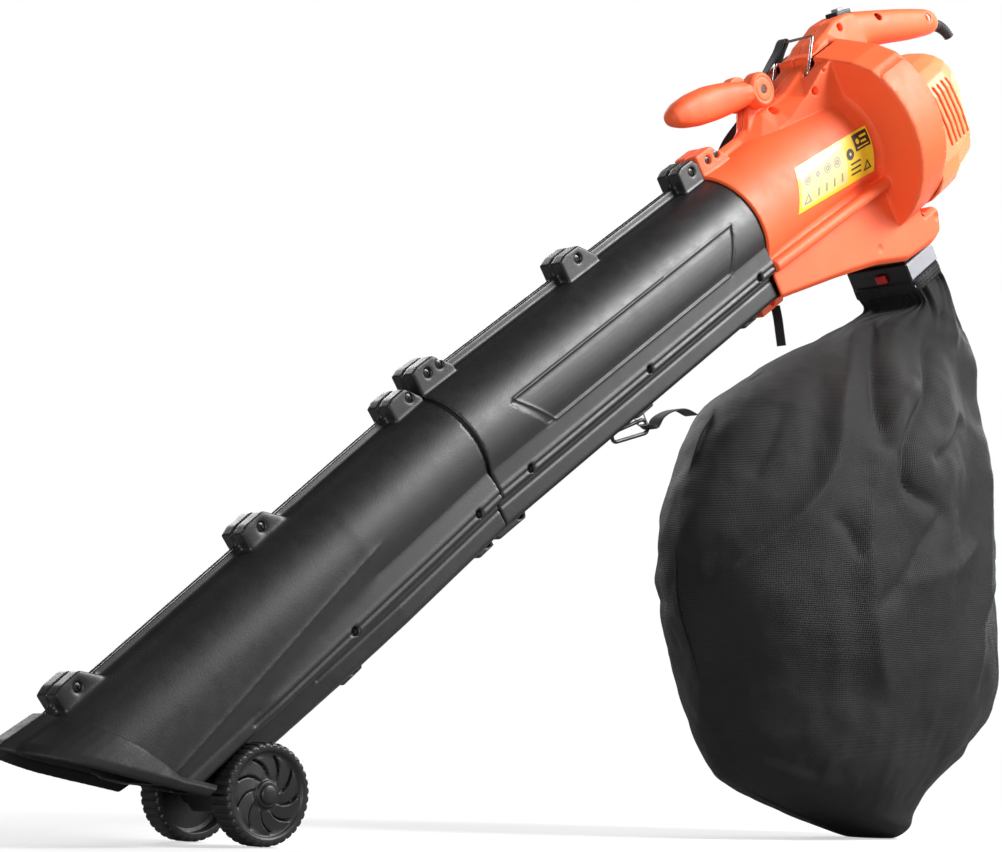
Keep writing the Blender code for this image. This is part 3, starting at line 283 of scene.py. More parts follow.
def cad_copy(node, axes):
    """A new mesh in the given axes, from a CAD node's. The node itself is left alone."""
    work = bmesh.new()
    work.from_mesh(NODES[node].data)
    bmesh.ops.transform(work, matrix=axes.inverted(), verts=work.verts)
    bmesh.ops.remove_doubles(work, verts=work.verts, dist=0.000004)
    return from_bmesh(work)


def points_of(mesh):
    points = np.empty(len(mesh.vertices) * 3, np.float32)
    mesh.vertices.foreach_get("co", points)
    return points.reshape(-1, 3).astype(float)


def set_points(mesh, points):
    mesh.vertices.foreach_set("co", points.astype(np.float32).ravel())
    mesh.update()


def relaxed(mesh, passes, weight=None):
    """Evens the surface out. weight(points) gives each point's share, from 0 to 1."""
    points = points_of(mesh)
    edges = np.empty(len(mesh.edges) * 2, np.int32)
    mesh.edges.foreach_get("vertices", edges)
    a, b = edges.reshape(-1, 2).T
    count = np.maximum(np.bincount(a, minlength=len(points)) + np.bincount(b, minlength=len(points)), 1)
    share = np.full(len(points), 0.5) if weight is None else 0.5 * weight(points)
    for _ in range(passes):
        for axis in range(3):
            values = points[:, axis]
            near = np.bincount(a, values[b], len(points)) + np.bincount(b, values[a], len(points))
            points[:, axis] = values + share * (near / count - values)
    set_points(mesh, points)
    return mesh


def remeshed(mesh, voxel):
    def modifiers(holder):
        remesh = holder.modifiers.new("Remesh", "REMESH")
        remesh.mode = "VOXEL"
        remesh.voxel_size = voxel
    return evaluated(mesh, modifiers)


def lightened(mesh, ratio):
    def modifiers(holder):
        decimate = holder.modifiers.new("Decimate", "DECIMATE")
        decimate.ratio = ratio
    return evaluated(mesh, modifiers)


def trued(mesh, radius_at, tolerance=0.0006, low=-0.035):
    """Presses a many-sided wall out to the true round. radius_at(x) gives its radius along the axis."""
    points = points_of(mesh)
    radius = np.hypot(points[:, 1], points[:, 2])
    wanted = radius_at(points[:, 0])
    near = (np.abs(radius - wanted) < tolerance) & (points[:, 2] > low)
    scale = np.where(near, wanted / np.maximum(radius, 1e-9), 1.0)
    points[:, 1] *= scale
    points[:, 2] *= scale
    set_points(mesh, points)
    return mesh


def turned(profile, steps=64, axis="X", wave=None):
    """A closed profile of (radius, along) turned about an axis. wave(step) is added to its outer radii."""
    work = bmesh.new()
    widest = max(radius for radius, _ in profile)
    rings = []
    for step in range(steps):
        angle = 2 * math.pi * step / steps
        ring = []
        for radius, along in profile:
            r = radius + (wave(step) if wave and radius > widest - 0.0026 else 0.0)
            across, up = r * math.sin(angle), r * math.cos(angle)
            ring.append(work.verts.new({"X": (along, across, up), "Y": (up, along, -across)}[axis]))
        rings.append(ring)
    stitch(work, rings)
    bmesh.ops.remove_doubles(work, verts=work.verts, dist=0.00001)
    return from_bmesh(work)


def bar(start, end, across, half_width, half_height):
    """A straight bar of oblong section between two points. across is the way its width runs."""
    start, end = Vector(start), Vector(end)
    up = (end - start).cross(Vector(across)).normalized() * half_height
    side = Vector(across).normalized() * half_width
    work = bmesh.new()
    ends = [[work.verts.new(place + side * s + up * t) for s, t in ((1, 1), (-1, 1), (-1, -1), (1, -1))]
            for place in (start, end)]
    work.faces.new(ends[0])
    work.faces.new(ends[1])
    for i in range(4):
        work.faces.new((ends[0][i], ends[0][(i + 1) % 4], ends[1][(i + 1) % 4], ends[1][i]))
    return from_bmesh(work)


def rod(start, end, radius, segments=32):
    start, end = Vector(start), Vector(end)
    work = bmesh.new()
    bmesh.ops.create_cone(work, cap_ends=True, segments=segments, radius1=radius, radius2=radius,
                          depth=(end - start).length)
    turn = (end - start).to_track_quat("Z", "Y").to_matrix().to_4x4()
    bmesh.ops.transform(work, matrix=Matrix.Translation((start + end) / 2) @ turn, verts=work.verts)
    return from_bmesh(work)


def mirrored(mesh):
    copy = mesh.copy()
    copy.transform(Matrix.Scale(-1, 4, (0, 1, 0)))
    copy.flip_normals()
    return copy


def smooth_line(points, count):
    """Points spread along a smooth curve through the given ones (vectors of any size)."""
    points = [np.array(point, float) for point in points]
    ends = [2 * points[0] - points[1]] + points + [2 * points[-1] - points[-2]]
    made = []
    for k in range(count + 1):
        at = k / count * (len(points) - 1)
        i = min(int(at), len(points) - 2)
        t = at - i
        a, b, c, d = ends[i:i + 4]
        made.append(0.5 * (2 * b + (c - a) * t + (2 * a - 5 * b + 4 * c - d) * t * t
                           + (3 * b - a - 3 * c + d) * t ** 3))
    return made


def piece(name, mesh, body, slot, axes=ROW, stands_for=(), finish=None):
    """One visible piece. One that blends between two bodies is given no body here."""
    mesh.transform(axes)
    mesh.name = name
    if len(mesh.materials) < 2:
        mesh.materials.clear()
        mesh.materials.append(finish or FINISH[slot])
    mesh.shade_smooth()
    made = bpy.data.objects.new(name, mesh)
    bpy.context.scene.collection.objects.link(made)
    if body:
        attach(made, body)
    if stands_for:
        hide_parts(*stands_for)
    return made


def shown_as(node, mesh, axes, finish=None):
    """A detailed mesh in place of one CAD node, on the same body and with the same material slot."""
    return piece(node + "_detailed", mesh, BODY_OF[node], SLOT_OF[node], axes, [node], finish)


# ---- tubes and nozzle ----------------------------------------------------------------------------------


def arc_slab(inner, outer, first, last, low, high, steps=12):
    """Part of a tube's wall, from one angle to another. 0 degrees is up and 90 is to the right."""
    work = bmesh.new()
    rows = []
    for k in range(steps + 1):
        angle = math.radians(first + (last - first) * k / steps)
        rows.append([work.verts.new((along, radius * math.sin(angle), radius * math.cos(angle)))
                     for radius, along in ((inner, low), (outer, low), (outer, high), (inner, high))])
    for one, other in zip(rows, rows[1:]):
        for i in range(4):
            work.faces.new((one[i], one[(i + 1) % 4], other[(i + 1) % 4], other[i]))
    work.faces.new(rows[0])
    work.faces.new(rows[-1])
    return from_bmesh(work)


def step(values, edge, width):
    return 1 / (1 + np.exp(-(values - edge) / width * 4))


NOWHERE = 9.0                    # a radius that no wall has, so that nothing there is trued
TUBE_VOXEL = 0.0012
UPPER_RADIUS, LOWER_RADIUS = 0.0600, 0.0572
LAST_ROUND = -0.165              # the lower tube is round as far as this, and widens beyond it
TUBE_FLATNESS = 0.00045          # a point nearer to the true round than this is moved onto it
DUCT_TOP = -0.0438               # the seam between the round tube and the duct under it


def off_the_lugs(points):
    """How much to smooth each point: fully on the tube's round wall, and less on the lugs by its seams."""
    radius = np.hypot(points[:, 1], points[:, 2])
    round_wall = (radius > 0.050) & (radius < 0.0612) & (points[:, 2] > -0.035)
    return np.where(round_wall, 1.0, 0.60)


def tapered_wall(points):
    """1 on the lower tube's side walls where they widen towards the nozzle, and 0 along its seams."""
    ahead = np.clip((-0.158 - points[:, 0]) / 0.02, 0, 1)
    off_seam = np.clip((np.abs(points[:, 1]) - 0.014) / 0.004, 0, 1)
    above_duct = np.clip((points[:, 2] + 0.034) / 0.004, 0, 1)
    return ahead * off_seam * above_duct


def raised(points, height):
    """Moves each point out of the tube's side by its own height. A height below 0 is a groove."""
    points[:, 1] += np.sign(points[:, 1]) * height


def cut_grooves(points, duct_groove, foremost=-NOWHERE):
    """Two lines along each side, one over the duct and one on it. Nothing is cut ahead of foremost."""
    on_side = (np.abs(points[:, 1]) > 0.040) & (points[:, 0] > foremost)
    for line, deep in ((DUCT_TOP, 0.0017), (duct_groove, 0.0011)):
        raised(points, -deep * np.exp(-((points[:, 2] - line) / 0.0012) ** 2) * on_side)


def panel_ridge(points):
    """1 on the outline of the slanted panel on each side of the upper tube."""
    along, up = points[:, 0], points[:, 2]
    inside = (step(along, 0.060 + 0.9 * (0.018 - up), 0.0022)
              * step(-along, -0.412 + 0.7 * (0.020 - up), 0.0022)
              * step(up, -0.0225, 0.0018) * step(-up, -0.0195, 0.0018))
    return inside * (1 - inside) * 4 * (np.abs(points[:, 1]) > 0.05)


def side_crease(points):
    """1 on the sharp line along each side of the lower tube, which rises from the shoe."""
    line = -0.026 * (points[:, 0] + 0.142) / -0.281
    crease = np.exp(-np.abs(points[:, 2] - line) / 0.0022) * (np.abs(points[:, 1]) > 0.045)
    return crease * step(-points[:, 0], 0.150, 0.02)


def add_tubes():
    backing = arc_slab(0.0558, 0.0584, 58, 122, 0.045, 0.420)
    for side in ("left", "right"):
        name = "upper_tube_" + side
        extra = backing if side == "right" else mirrored(backing)
        mesh = relaxed(remeshed(joined(cad_copy(name, MACHINE), extra), TUBE_VOXEL), 6, off_the_lugs)
        trued(mesh, lambda x: np.full_like(x, UPPER_RADIUS), TUBE_FLATNESS)
        points = points_of(mesh)
        raised(points, 0.0013 * panel_ridge(points))
        cut_grooves(points, -0.0590)
        set_points(mesh, points)
        shown_as(name, lightened(mesh, 0.45), MACHINE)
        name = "lower_tube_" + side
        mesh = relaxed(remeshed(cad_copy(name, LOWER), TUBE_VOXEL), 6, off_the_lugs)
        trued(mesh, lambda x: np.where(x > LAST_ROUND, LOWER_RADIUS, NOWHERE), TUBE_FLATNESS)
        relaxed(mesh, 90, tapered_wall)
        points = points_of(mesh)
        raised(points, 0.0016 * side_crease(points))
        cut_grooves(points, -0.0600, -0.340)
        set_points(mesh, points)
        shown_as(name, lightened(mesh, 0.45), LOWER)
    sleeve = turned(((0.0528, -0.014), (0.0543, -0.014), (0.0543, 0.002), (0.0571, 0.005), (0.0571, 0.014),
                     (0.0555, 0.014), (0.0528, 0.004)), 96)
    piece("tube_joint_sleeve", sleeve, "machine", "black_plastic", MACHINE)
    shoe = relaxed(remeshed(cad_copy("nozzle_shoe", LOWER), 0.0009), 5)
    shown_as("nozzle_shoe", lightened(shoe, 0.6), LOWER, MATT_BLACK)
    bracket = relaxed(remeshed(cad_copy("axle_bracket", LOWER), 0.0009), 3)
    shown_as("axle_bracket", lightened(bracket, 0.4), LOWER)


def wheel_mesh():
    """The right wheel about its own axle: ribbed tread, dished web with curved vanes, and a hub."""
    lugs, steps_per_lug, tread_depth = 36, 6, 0.0013

    def tread(step_number):
        return -tread_depth if step_number % steps_per_lug in (0, steps_per_lug - 1) else 0.0
    rim = turned((
        (0.0345, 0.0370), (0.0395, 0.0370), (0.0412, 0.0384), (0.0420, 0.0405), (0.0420, 0.0575),
        (0.0412, 0.0598), (0.0395, 0.0612), (0.0360, 0.0612), (0.0342, 0.0600), (0.0330, 0.0560),
        (0.0325, 0.0520), (0.0325, 0.0480), (0.0345, 0.0480),
    ), lugs * steps_per_lug, "Y", tread)
    hub = turned(((0.0043, 0.0375), (0.0098, 0.0375), (0.0098, 0.0480), (0.0112, 0.0560), (0.0110, 0.0592),
                  (0.0098, 0.0600), (0.0043, 0.0598)), 48, "Y")
    return lightened(relaxed(remeshed(joined(rim, fan_web(), hub), 0.0006), 2), 0.5)


def fan_web(blades=9, inner=0.0090, outer=0.0338, around=540, across=40):
    """The wheel's dished web. Curved blades overlap on it like a fan's, with a dark slot behind each."""
    floor = 0.0490
    work = bmesh.new()
    rows = []
    for i in range(across + 1):
        share = i / across
        radius = inner + (outer - inner) * share
        dish = 0.0573 + 0.0012 * share ** 2
        fade = min(max((share - 0.10) / 0.12, 0), 1) * min(max((0.93 - share) / 0.10, 0), 1)
        row = []
        for k in range(around):
            angle = 2 * math.pi * k / around
            phase = (k / around * blades - 1.1 * share ** 1.3) % 1.0
            slot = max(1 - abs(phase - 0.06) / (0.045 + 0.03 * share), 0) ** 0.5
            height = dish + fade * (0.0020 * phase - 0.0010 - 0.0052 * slot)
            row.append(work.verts.new((radius * math.cos(angle), height, radius * math.sin(angle))))
        rows.append(row)
    turns = [2 * math.pi * k / around for k in range(around)]
    for back in (outer, inner):
        rows.append([work.verts.new((back * math.cos(turn), floor, back * math.sin(turn))) for turn in turns])
    stitch(work, rows)
    return from_bmesh(work)


def add_wheels():
    axle = Vector((-0.363, 0, -0.0945))
    right = wheel_mesh()
    for name, mesh in (("wheel_right", right), ("wheel_left", mirrored(right))):
        shown_as(name, mesh, LOWER @ Matrix.Translation(axle))
    cap = turned(((0.0, 0.0594), (0.0062, 0.0594), (0.0078, 0.0602), (0.0079, 0.0611), (0.0062, 0.0621),
                  (0.0030, 0.0626), (0.0, 0.0627)), 48, "Y")
    for name, mesh in (("axle_cap_right", cap), ("axle_cap_left", mirrored(cap))):
        shown_as(name, mesh, LOWER @ Matrix.Translation(axle), FINISH["wheel_plastic"])


# ---- housing, handles and small mouldings --------------------------------------------------------------


BARREL = (                       # along, radius
    (0.440, 0.0635), (0.447, 0.0633), (0.455, 0.0625), (0.475, 0.0615), (0.560, 0.0625), (0.635, 0.0650),
)
VOLUTE_RADIUS = 0.1155


def barrel_radius(along):
    xs, radii = zip(*BARREL)
    return np.where((along > xs[0]) & (along < xs[-1]), np.interp(along, xs, radii), NOWHERE)


def near_grip(points):
    """0 on the barrel and 1 on the rear grip, whose corners are rounder."""
    return np.clip((points[:, 0] - 0.735) / 0.02, 0, 1)


def add_housing():
    for name in ("housing_left", "housing_right"):
        mesh = relaxed(remeshed(cad_copy(name, MACHINE), 0.0011), 4)
        relaxed(mesh, 40, near_grip)
        trued(mesh, barrel_radius, 0.0005)
        points = points_of(mesh)
        radius = np.hypot(points[:, 1], points[:, 2])
        angle = np.degrees(np.arctan2(np.abs(points[:, 1]), points[:, 2]))
        round_part = (angle > 56) & (points[:, 0] > 0.659) & (points[:, 0] < 0.708)
        rim = (np.abs(radius - VOLUTE_RADIUS + 0.0003) < 0.0007) & round_part
        scale = np.where(rim, VOLUTE_RADIUS / np.maximum(radius, 1e-9), 1)
        points[:, 1] *= scale
        points[:, 2] *= scale
        set_points(mesh, points)
        shown_as(name, lightened(mesh, 0.42), MACHINE)
    cover = relaxed(remeshed(cad_copy("motor_cover", MACHINE), 0.0010), 5)
    # The cover and its liner take the paler orange, painted highlight for the light on the cover.
    shown_as("motor_cover", lightened(cover, 0.5), MACHINE, ORANGE_WITH_PAINTED_HIGHLIGHT)
    piece("motor_cover_liner", cover_liner(), "machine", "orange_plastic", MACHINE, finish=ORANGE_WITH_PAINTED_HIGHLIGHT)


def cover_liner(count=96):
    """The dust shield behind the cover's slots, a thin skin that follows its inside."""
    stations = (                 # along, half width, lowest, highest
        (0.7130, 0.0920, -0.1080, 0.0430), (0.7450, 0.0925, -0.1070, 0.0425),
        (0.7800, 0.0900, -0.0960, 0.0405), (0.7990, 0.0800, -0.0640, 0.0380),
        (0.8090, 0.0640, -0.0420, 0.0300),
    )
    work = bmesh.new()
    rings = []
    for inset, order in ((0.0036, 1), (0.0046, -1)):     # the outside, then back along the inside
        for along, half, low, high in stations[::order]:
            ring = []
            for k in range(count):
                angle = 2 * math.pi * k / count
                out = math.copysign(abs(math.sin(angle)) ** 0.62, math.sin(angle))
                over = math.copysign(abs(math.cos(angle)) ** 0.62, math.cos(angle))
                ring.append(work.verts.new((along, (half - inset) * out,
                                            (low + high) / 2 + ((high - low) / 2 - inset) * over)))
            rings.append(ring)
    stitch(work, rings)
    return from_bmesh(work)


def add_front_handle():
    pivot = Vector((0.572, 0, 0.100))

    def paddle(points):
        return np.clip((pivot.x - 0.022 - points[:, 0]) / 0.012, 0, 1)
    mesh = relaxed(remeshed(cad_copy("front_handle", MACHINE), 0.0008), 4)
    relaxed(mesh, 70, paddle)
    points = points_of(mesh)
    back = points[:, 0] - pivot.x
    up = points[:, 2] - pivot.z
    disc = np.hypot(back, up)
    face = (np.abs(points[:, 1]) > 0.0215) & (disc < 0.019)
    points[:, 1] -= np.sign(points[:, 1]) * 0.0009 * np.exp(-((disc - 0.0125) / 0.0012) ** 2) * face
    set_points(mesh, points)
    shown_as("front_handle", lightened(mesh, 0.5), MACHINE)


def add_small_mouldings():
    small = {
        "handle_bolt": (0.0005, 2), "bag_collar": (0.0007, 3), "outlet_spigot": (0.0008, 2),
        "mode_flap": (0.0008, 2), "mode_lever": (0.0005, 3), "strap_anchor": (0.0005, 3),
        "switch_bezel": (0.0004, 2), "power_switch": (0.0003, 3), "bag_latch": (0.0003, 3),
    }
    for node, (voxel, passes) in small.items():
        shown_as(node, lightened(relaxed(remeshed(cad_copy(node, MACHINE), voxel), passes), 0.5), MACHINE)
    shown_as("cord_boot", boot_mesh(), MACHINE @ Matrix.Translation((0.9060, 0, 0.0330)))


def boot_mesh(length=0.0300, count=84, sides=40):
    """The ribbed sleeve behind the grip. It bends down, and its end is open."""
    place = Vector((0, 0, 0))
    turns = [2 * math.pi * k / sides for k in range(sides)]
    outer, inner = [], []
    for i in range(count + 1):
        share = i / count
        lean = math.radians(24 + 52 * share)
        rib = 0.5 + 0.5 * math.cos(2 * math.pi * (share * 9 + 0.5))
        radius = 0.0070 - 0.0014 * share - (0.0011 * rib if 0.16 < share < 0.97 else 0.0)
        up = Vector((math.sin(lean), 0, math.cos(lean)))
        around = [up * math.cos(turn) + Vector((0, math.sin(turn), 0)) for turn in turns]
        for rows, size in ((outer, radius), (inner, 0.0022)):
            rows.append([place + size * out for out in around])
        place = place + Vector((math.cos(lean), 0, -math.sin(lean))) * length / count
    work = bmesh.new()
    rings = [[work.verts.new(point) for point in row] for row in outer + inner[::-1]]
    stitch(work, rings)
    return from_bmesh(work)


def add_strap_ring():
    pivot, reach, half = Vector((0.645, 0, 0.0845)), Vector((0.030, 0, 0.0305)), 0.0235
    corners = [Vector((0, 0.0120, 0)), Vector((0, half, 0)), Vector((0, half, 0)) + reach,
               Vector((0, -half, 0)) + reach, Vector((0, -half, 0)), Vector((0, -0.0120, 0))]
    points = [corners[0]]
    for before, corner, after in zip(corners, corners[1:], corners[2:]):
        into, out = (before - corner).normalized() * 0.0034, (after - corner).normalized() * 0.0034
        for i in range(7):
            t = i / 6
            points.append(corner + into * (1 - t) ** 2 + out * t ** 2)
    points.append(corners[-1])
    shown_as("strap_ring", tube_along(points, 0.0015, 14), MACHINE @ Matrix.Translation(pivot))


def tube_along(points, radius, sides):
    curve = bpy.data.curves.new("line", "CURVE")
    curve.dimensions = "3D"
    curve.bevel_depth = radius
    curve.bevel_resolution = max(sides // 4, 1)
    curve.use_fill_caps = True
    spline = curve.splines.new("POLY")
    spline.points.add(len(points) - 1)
    for point, place in zip(spline.points, points):
        point.co = (*place, 1)
    holder = bpy.data.objects.new("line", curve)
    bpy.context.scene.collection.objects.link(holder)
    mesh = bpy.data.meshes.new_from_object(holder.evaluated_get(bpy.context.evaluated_depsgraph_get()))
    bpy.data.objects.remove(holder)
    work = bmesh.new()
    work.from_mesh(mesh)
    bmesh.ops.remove_doubles(work, verts=work.verts, dist=0.00001)
    return from_bmesh(work)


def screw_mesh():
    """The head of a pan-head screw with a cross recess, about the middle of its seat, pointing to -Y."""
    head = turned(((0.0, 0.0020), (0.0020, 0.0020), (0.0020, 0.0), (0.0040, 0.0), (0.0041, -0.0006),
                   (0.0036, -0.0015), (0.0022, -0.0021), (0.0, -0.0023)), 32, "Y")

    def modifiers(holder):
        for k in range(2):
            across = Vector((1, 0, 0)) if k else Vector((0, 0, 1))
            tool = bpy.data.objects.new("tool", bar(-0.0023 * across - Vector((0, 0.0022, 0)),
                                                    0.0023 * across - Vector((0, 0.0022, 0)),
                                                    (0, 1, 0), 0.0014, 0.0005))
            bpy.context.scene.collection.objects.link(tool)
            cutter = holder.modifiers.new("Recess", "BOOLEAN")
            cutter.object = tool
            tools.append(tool)
    tools = []
    mesh = evaluated(head, modifiers)
    for tool in tools:
        bpy.data.objects.remove(tool)
    mesh.set_sharp_from_angle(angle=math.radians(35))
    return mesh


def add_screws():
    pattern = screw_mesh()
    for node in sorted(NODES):
        if not node.startswith("screw_"):
            continue
        axes = LOWER if node.startswith("screw_lower") else MACHINE
        low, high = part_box(node)
        middle = axes.inverted() @ ((low + high) / 2)
        seat = low.y + 0.0020
        shank = rod((0, 0.0018, 0), (0, high.y - seat, 0), 0.0020, 16)
        made = joined(pattern, shank)
        shown_as(node, made, axes @ Matrix.Translation((middle.x, seat, middle.z)), BLACK_SCREW)


# ---- label and the painted highlight on the collar -----------------------------------------------------


LABEL_CORNERS = ((0.505, -0.0165), (0.529, 0.0245), (0.647, 0.0165), (0.642, -0.0325))


def on_barrel(s, t, lift):
    """A point of the label, s along and t up from 0 to 1, on the left of the barrel."""
    corners = [Vector(corner) for corner in LABEL_CORNERS]
    along, up = (corners[0].lerp(corners[3], s)).lerp(corners[1].lerp(corners[2], s), t)
    xs, radii = zip(*BARREL)
    radius = float(np.interp(along, xs + (0.653,), radii + (0.069,))) + lift
    return Vector((along, -math.sqrt(radius ** 2 - up ** 2), up))


def label_mesh():
    """A plain sticker with generic blocks, discs and outlines. It carries no lettering."""
    work = bmesh.new()

    def sheet(s0, s1, t0, t1, lift, ink, columns, rows):
        grid = [[work.verts.new(on_barrel(s0 + (s1 - s0) * i / columns, t0 + (t1 - t0) * k / rows, lift))
                 for k in range(rows + 1)] for i in range(columns + 1)]
        for first, second in zip(grid, grid[1:]):
            for k in range(rows):
                work.faces.new((first[k], second[k], second[k + 1], first[k + 1])).material_index = ink

    def loop(outer, inner, lift, ink):
        """The band between two outlines of equally many points."""
        rings = [[work.verts.new(on_barrel(*point, lift)) for point in outline] for outline in (outer, inner)]
        for i in range(len(outer)):
            n = (i + 1) % len(outer)
            work.faces.new((rings[0][i], rings[0][n], rings[1][n], rings[1][i])).material_index = ink

    def disc(s, t, size, lift, ink, hole=0.05):
        """A ring, or a full disc with a pinhole. The label is 2.5 times as long as it is high."""
        turns = [2 * math.pi * k / 24 for k in range(24)]
        outer, inner = ([(s + reach * math.cos(turn), t + 2.5 * reach * math.sin(turn)) for turn in turns]
                        for reach in (size, size * hole))
        loop(outer, inner, lift, ink)

    def triangle(s, t, size, lift, ink):
        corners = [Vector((s - size, t)), Vector((s + size, t)), Vector((s, t + 4.2 * size))]
        middle = Vector((s, t + 1.4 * size))
        points = [a.lerp(b, k / 6) for a, b in zip(corners, corners[1:] + corners[:1]) for k in range(6)]
        loop(points, [middle + (point - middle) * 0.62 for point in points], lift, ink)

    yellow, black, pale, grey = range(4)
    base, print_lift, top = 0.00045, 0.00065, 0.00085
    sheet(0, 1, 0, 1, 0.00022, yellow, 60, 24)
    sheet(0.03, 0.655, 0.07, 0.93, base, pale, 40, 20)
    for s in (0.13, 0.40, 0.53):
        disc(s, 0.62, 0.046, print_lift, grey, 0.78)
    for s in (0.13, 0.265, 0.40, 0.53):
        disc(s, 0.62, 0.027, print_lift, grey, 0.25)
    disc(0.715, 0.62, 0.048, print_lift, black)
    disc(0.715, 0.62, 0.014, top, pale)
    triangle(0.115, 0.13, 0.052, print_lift, grey)
    triangle(0.915, 0.12, 0.052, print_lift, black)
    for k in range(4):
        sheet(0.25 + 0.105 * k, 0.27 + 0.105 * k, 0.16, 0.34, print_lift, grey, 2, 5)
    sheet(0.80, 0.985, 0.60, 0.95, print_lift, black, 10, 8)
    disc(0.845, 0.79, 0.024, top, yellow)
    sheet(0.885, 0.965, 0.83, 0.88, top, yellow, 5, 2)
    sheet(0.885, 0.950, 0.72, 0.77, top, yellow, 5, 2)
    sheet(0.820, 0.965, 0.64, 0.67, top, yellow, 8, 1)
    for k in range(3):
        sheet(0.70, 0.83, 0.16 + 0.11 * k, 0.20 + 0.11 * k, print_lift, black, 8, 2)
    mesh = from_bmesh(work)
    for ink in (YELLOW_VINYL, BLACK_INK, PALE_VINYL, GREY_INK):
        mesh.materials.append(ink)
    return mesh


def add_label():
    piece("barrel_label", label_mesh(), "machine", "orange_plastic", MACHINE)


def add_collar_side_highlight():
    """A pale sheet on the black collar's left side, painted highlight standing for the light on that side,
    and the thin pale stripe under it.
    """
    rear, front = 0.6552, 0.7068
    low, high = -0.1655, -0.1478
    thick = 0.0012
    place = (-0.0406 - thick / 2, (low + high) / 2)
    # A thin pale sheet where the black collar's side is lit: painted highlight.
    highlight_sheet = bar((rear, *place), (front, *place), (0, 0, 1), (high - low) / 2, thick / 2)
    highlight_sheet = lightened(relaxed(remeshed(highlight_sheet, 0.0003), 2), 0.2)
    piece("collar_side_painted_highlight", highlight_sheet, "machine", "grey_plastic", MACHINE, finish=GREY_WITH_PAINTED_HIGHLIGHT)
    # The stripe under it has the same pale grey finish.
    stripe = bar((rear, -0.0411, -0.1735), (front, -0.0411, -0.1735), (0, 0, 1), 0.0014, 0.0004)
    stripe = lightened(relaxed(remeshed(stripe, 0.00025), 2), 0.2)
    piece("collar_stripe", stripe, "machine", "grey_plastic", MACHINE, finish=GREY_WITH_PAINTED_HIGHLIGHT)


# ---- bag and straps ------------------------------------------------------------------------------------


BAG_RINGS = (                    # height, middle ahead of the tube joint, half length, half width
    (0.000, 0.6150, 0.0360, 0.0420), (0.012, 0.6000, 0.0520, 0.0500), (0.030, 0.5700, 0.0930, 0.0620),
    (0.058, 0.5450, 0.1440, 0.0800), (0.095, 0.5560, 0.1835, 0.0954), (0.152, 0.5654, 0.2147, 0.1116),
    (0.226, 0.5470, 0.2310, 0.1204), (0.294, 0.5456, 0.2323, 0.1208), (0.353, 0.5497, 0.2217, 0.1153),
    (0.411, 0.5616, 0.2048, 0.1065), (0.465, 0.5914, 0.1629, 0.0847), (0.515, 0.6418, 0.1097, 0.0590),
    (0.545, 0.6640, 0.0700, 0.0500),
)
CREASES = (                      # points of (angle, height), depth, width, how far it leans to one side
    (((-156, 0.560), (-150, 0.533), (-124, 0.488), (-110, 0.433), (-105, 0.388)),
     0.0150, 0.013, -0.7),
    (((-158, 0.555), (-154, 0.521), (-126, 0.441), (-123, 0.361), (-135, 0.306), (-152, 0.263),
      (-176, 0.227)),
     -0.0115, 0.015, 0.9),
    (((-80, 0.560), (-92, 0.500), (-87, 0.454), (-95, 0.400), (-93, 0.355), (-78, 0.335)),
     0.0140, 0.012, 0.7),
    (((-105, 0.388), (-109, 0.301), (-108, 0.198), (-104, 0.140)), -0.0070, 0.018, 0.6),
    (((-40, 0.545), (-44, 0.470), (-50, 0.353), (-58, 0.240), (-70, 0.129)), -0.0080, 0.020, 0.6),
    (((-122, 0.315), (-116, 0.305), (-112, 0.275)), 0.0060, 0.010, 0.3),
    (((-78, 0.335), (-88, 0.300), (-96, 0.262), (-108, 0.225)), 0.0070, 0.012, -0.5),
    (((-150, 0.430), (-146, 0.395), (-150, 0.350)), 0.0055, 0.016, 0.3),
    (((-30, 0.300), (-42, 0.250), (-60, 0.215)), 0.0060, 0.012, 0.3),
    (((-62, 0.440), (-72, 0.405), (-84, 0.385)), 0.0065, 0.009, 0.4),
    (((-96, 0.470), (-104, 0.430), (-106, 0.395)), -0.0060, 0.011, 0.5),
    (((-60, 0.310), (-76, 0.275), (-98, 0.255)), -0.0050, 0.013, 0.4),
    (((175, 0.225), (150, 0.235), (120, 0.210)), 0.0050, 0.013, 0.3),
    (((60, 0.555), (75, 0.480), (88, 0.400), (96, 0.300)), 0.0085, 0.014, 0.5),
    (((120, 0.550), (112, 0.480), (118, 0.390), (135, 0.300)), -0.0070, 0.013, 0.5),
    (((20, 0.540), (30, 0.440), (46, 0.330), (60, 0.200)), 0.0060, 0.016, -0.4),
    (((-10, 0.520), (-5, 0.420), (6, 0.300), (4, 0.180)), -0.0055, 0.018, 0.4),
    (((80, 0.240), (100, 0.190), (130, 0.150)), 0.0045, 0.013, 0.3),
    (((-20, 0.130), (-40, 0.095), (-66, 0.075)), 0.0045, 0.011, 0.3),
    (((0, 0.210), (-14, 0.165), (-30, 0.140)), 0.0040, 0.011, 0.3),
    (((-170, 0.120), (-150, 0.085), (-126, 0.070)), 0.0030, 0.012, 0.3),
)
BAG_AROUND, BAG_UP = 288, 200
NECK_MIDDLE = 0.6810


def bag_neck(angle, half_length, half_width, up):
    along = math.copysign(abs(math.cos(angle)) ** 0.35, math.cos(angle))
    across = math.copysign(abs(math.sin(angle)) ** 0.35, math.sin(angle))
    return MACHINE @ Vector((NECK_MIDDLE + half_length * along, half_width * across, up))


def bag_column(angle):
    """The bag's outline from its base up to its hem, at one angle round it."""
    column = [Vector((JOINT.x + middle + a * share * math.cos(angle), b * share * math.sin(angle), height))
              for height, middle, a, b, share in [(*BAG_RINGS[0], 0.02), (*BAG_RINGS[0], 0.6)]]
    column += [Vector((JOINT.x + middle + a * math.cos(angle), b * math.sin(angle), height))
               for height, middle, a, b in BAG_RINGS[1:]]
    column.append(bag_neck(angle, 0.0275, 0.0420, -0.1945))
    column.append(bag_neck(angle, 0.0276, 0.0416, -0.1790))
    column.append(bag_neck(angle, 0.0279, 0.0419, -0.1665))
    return column


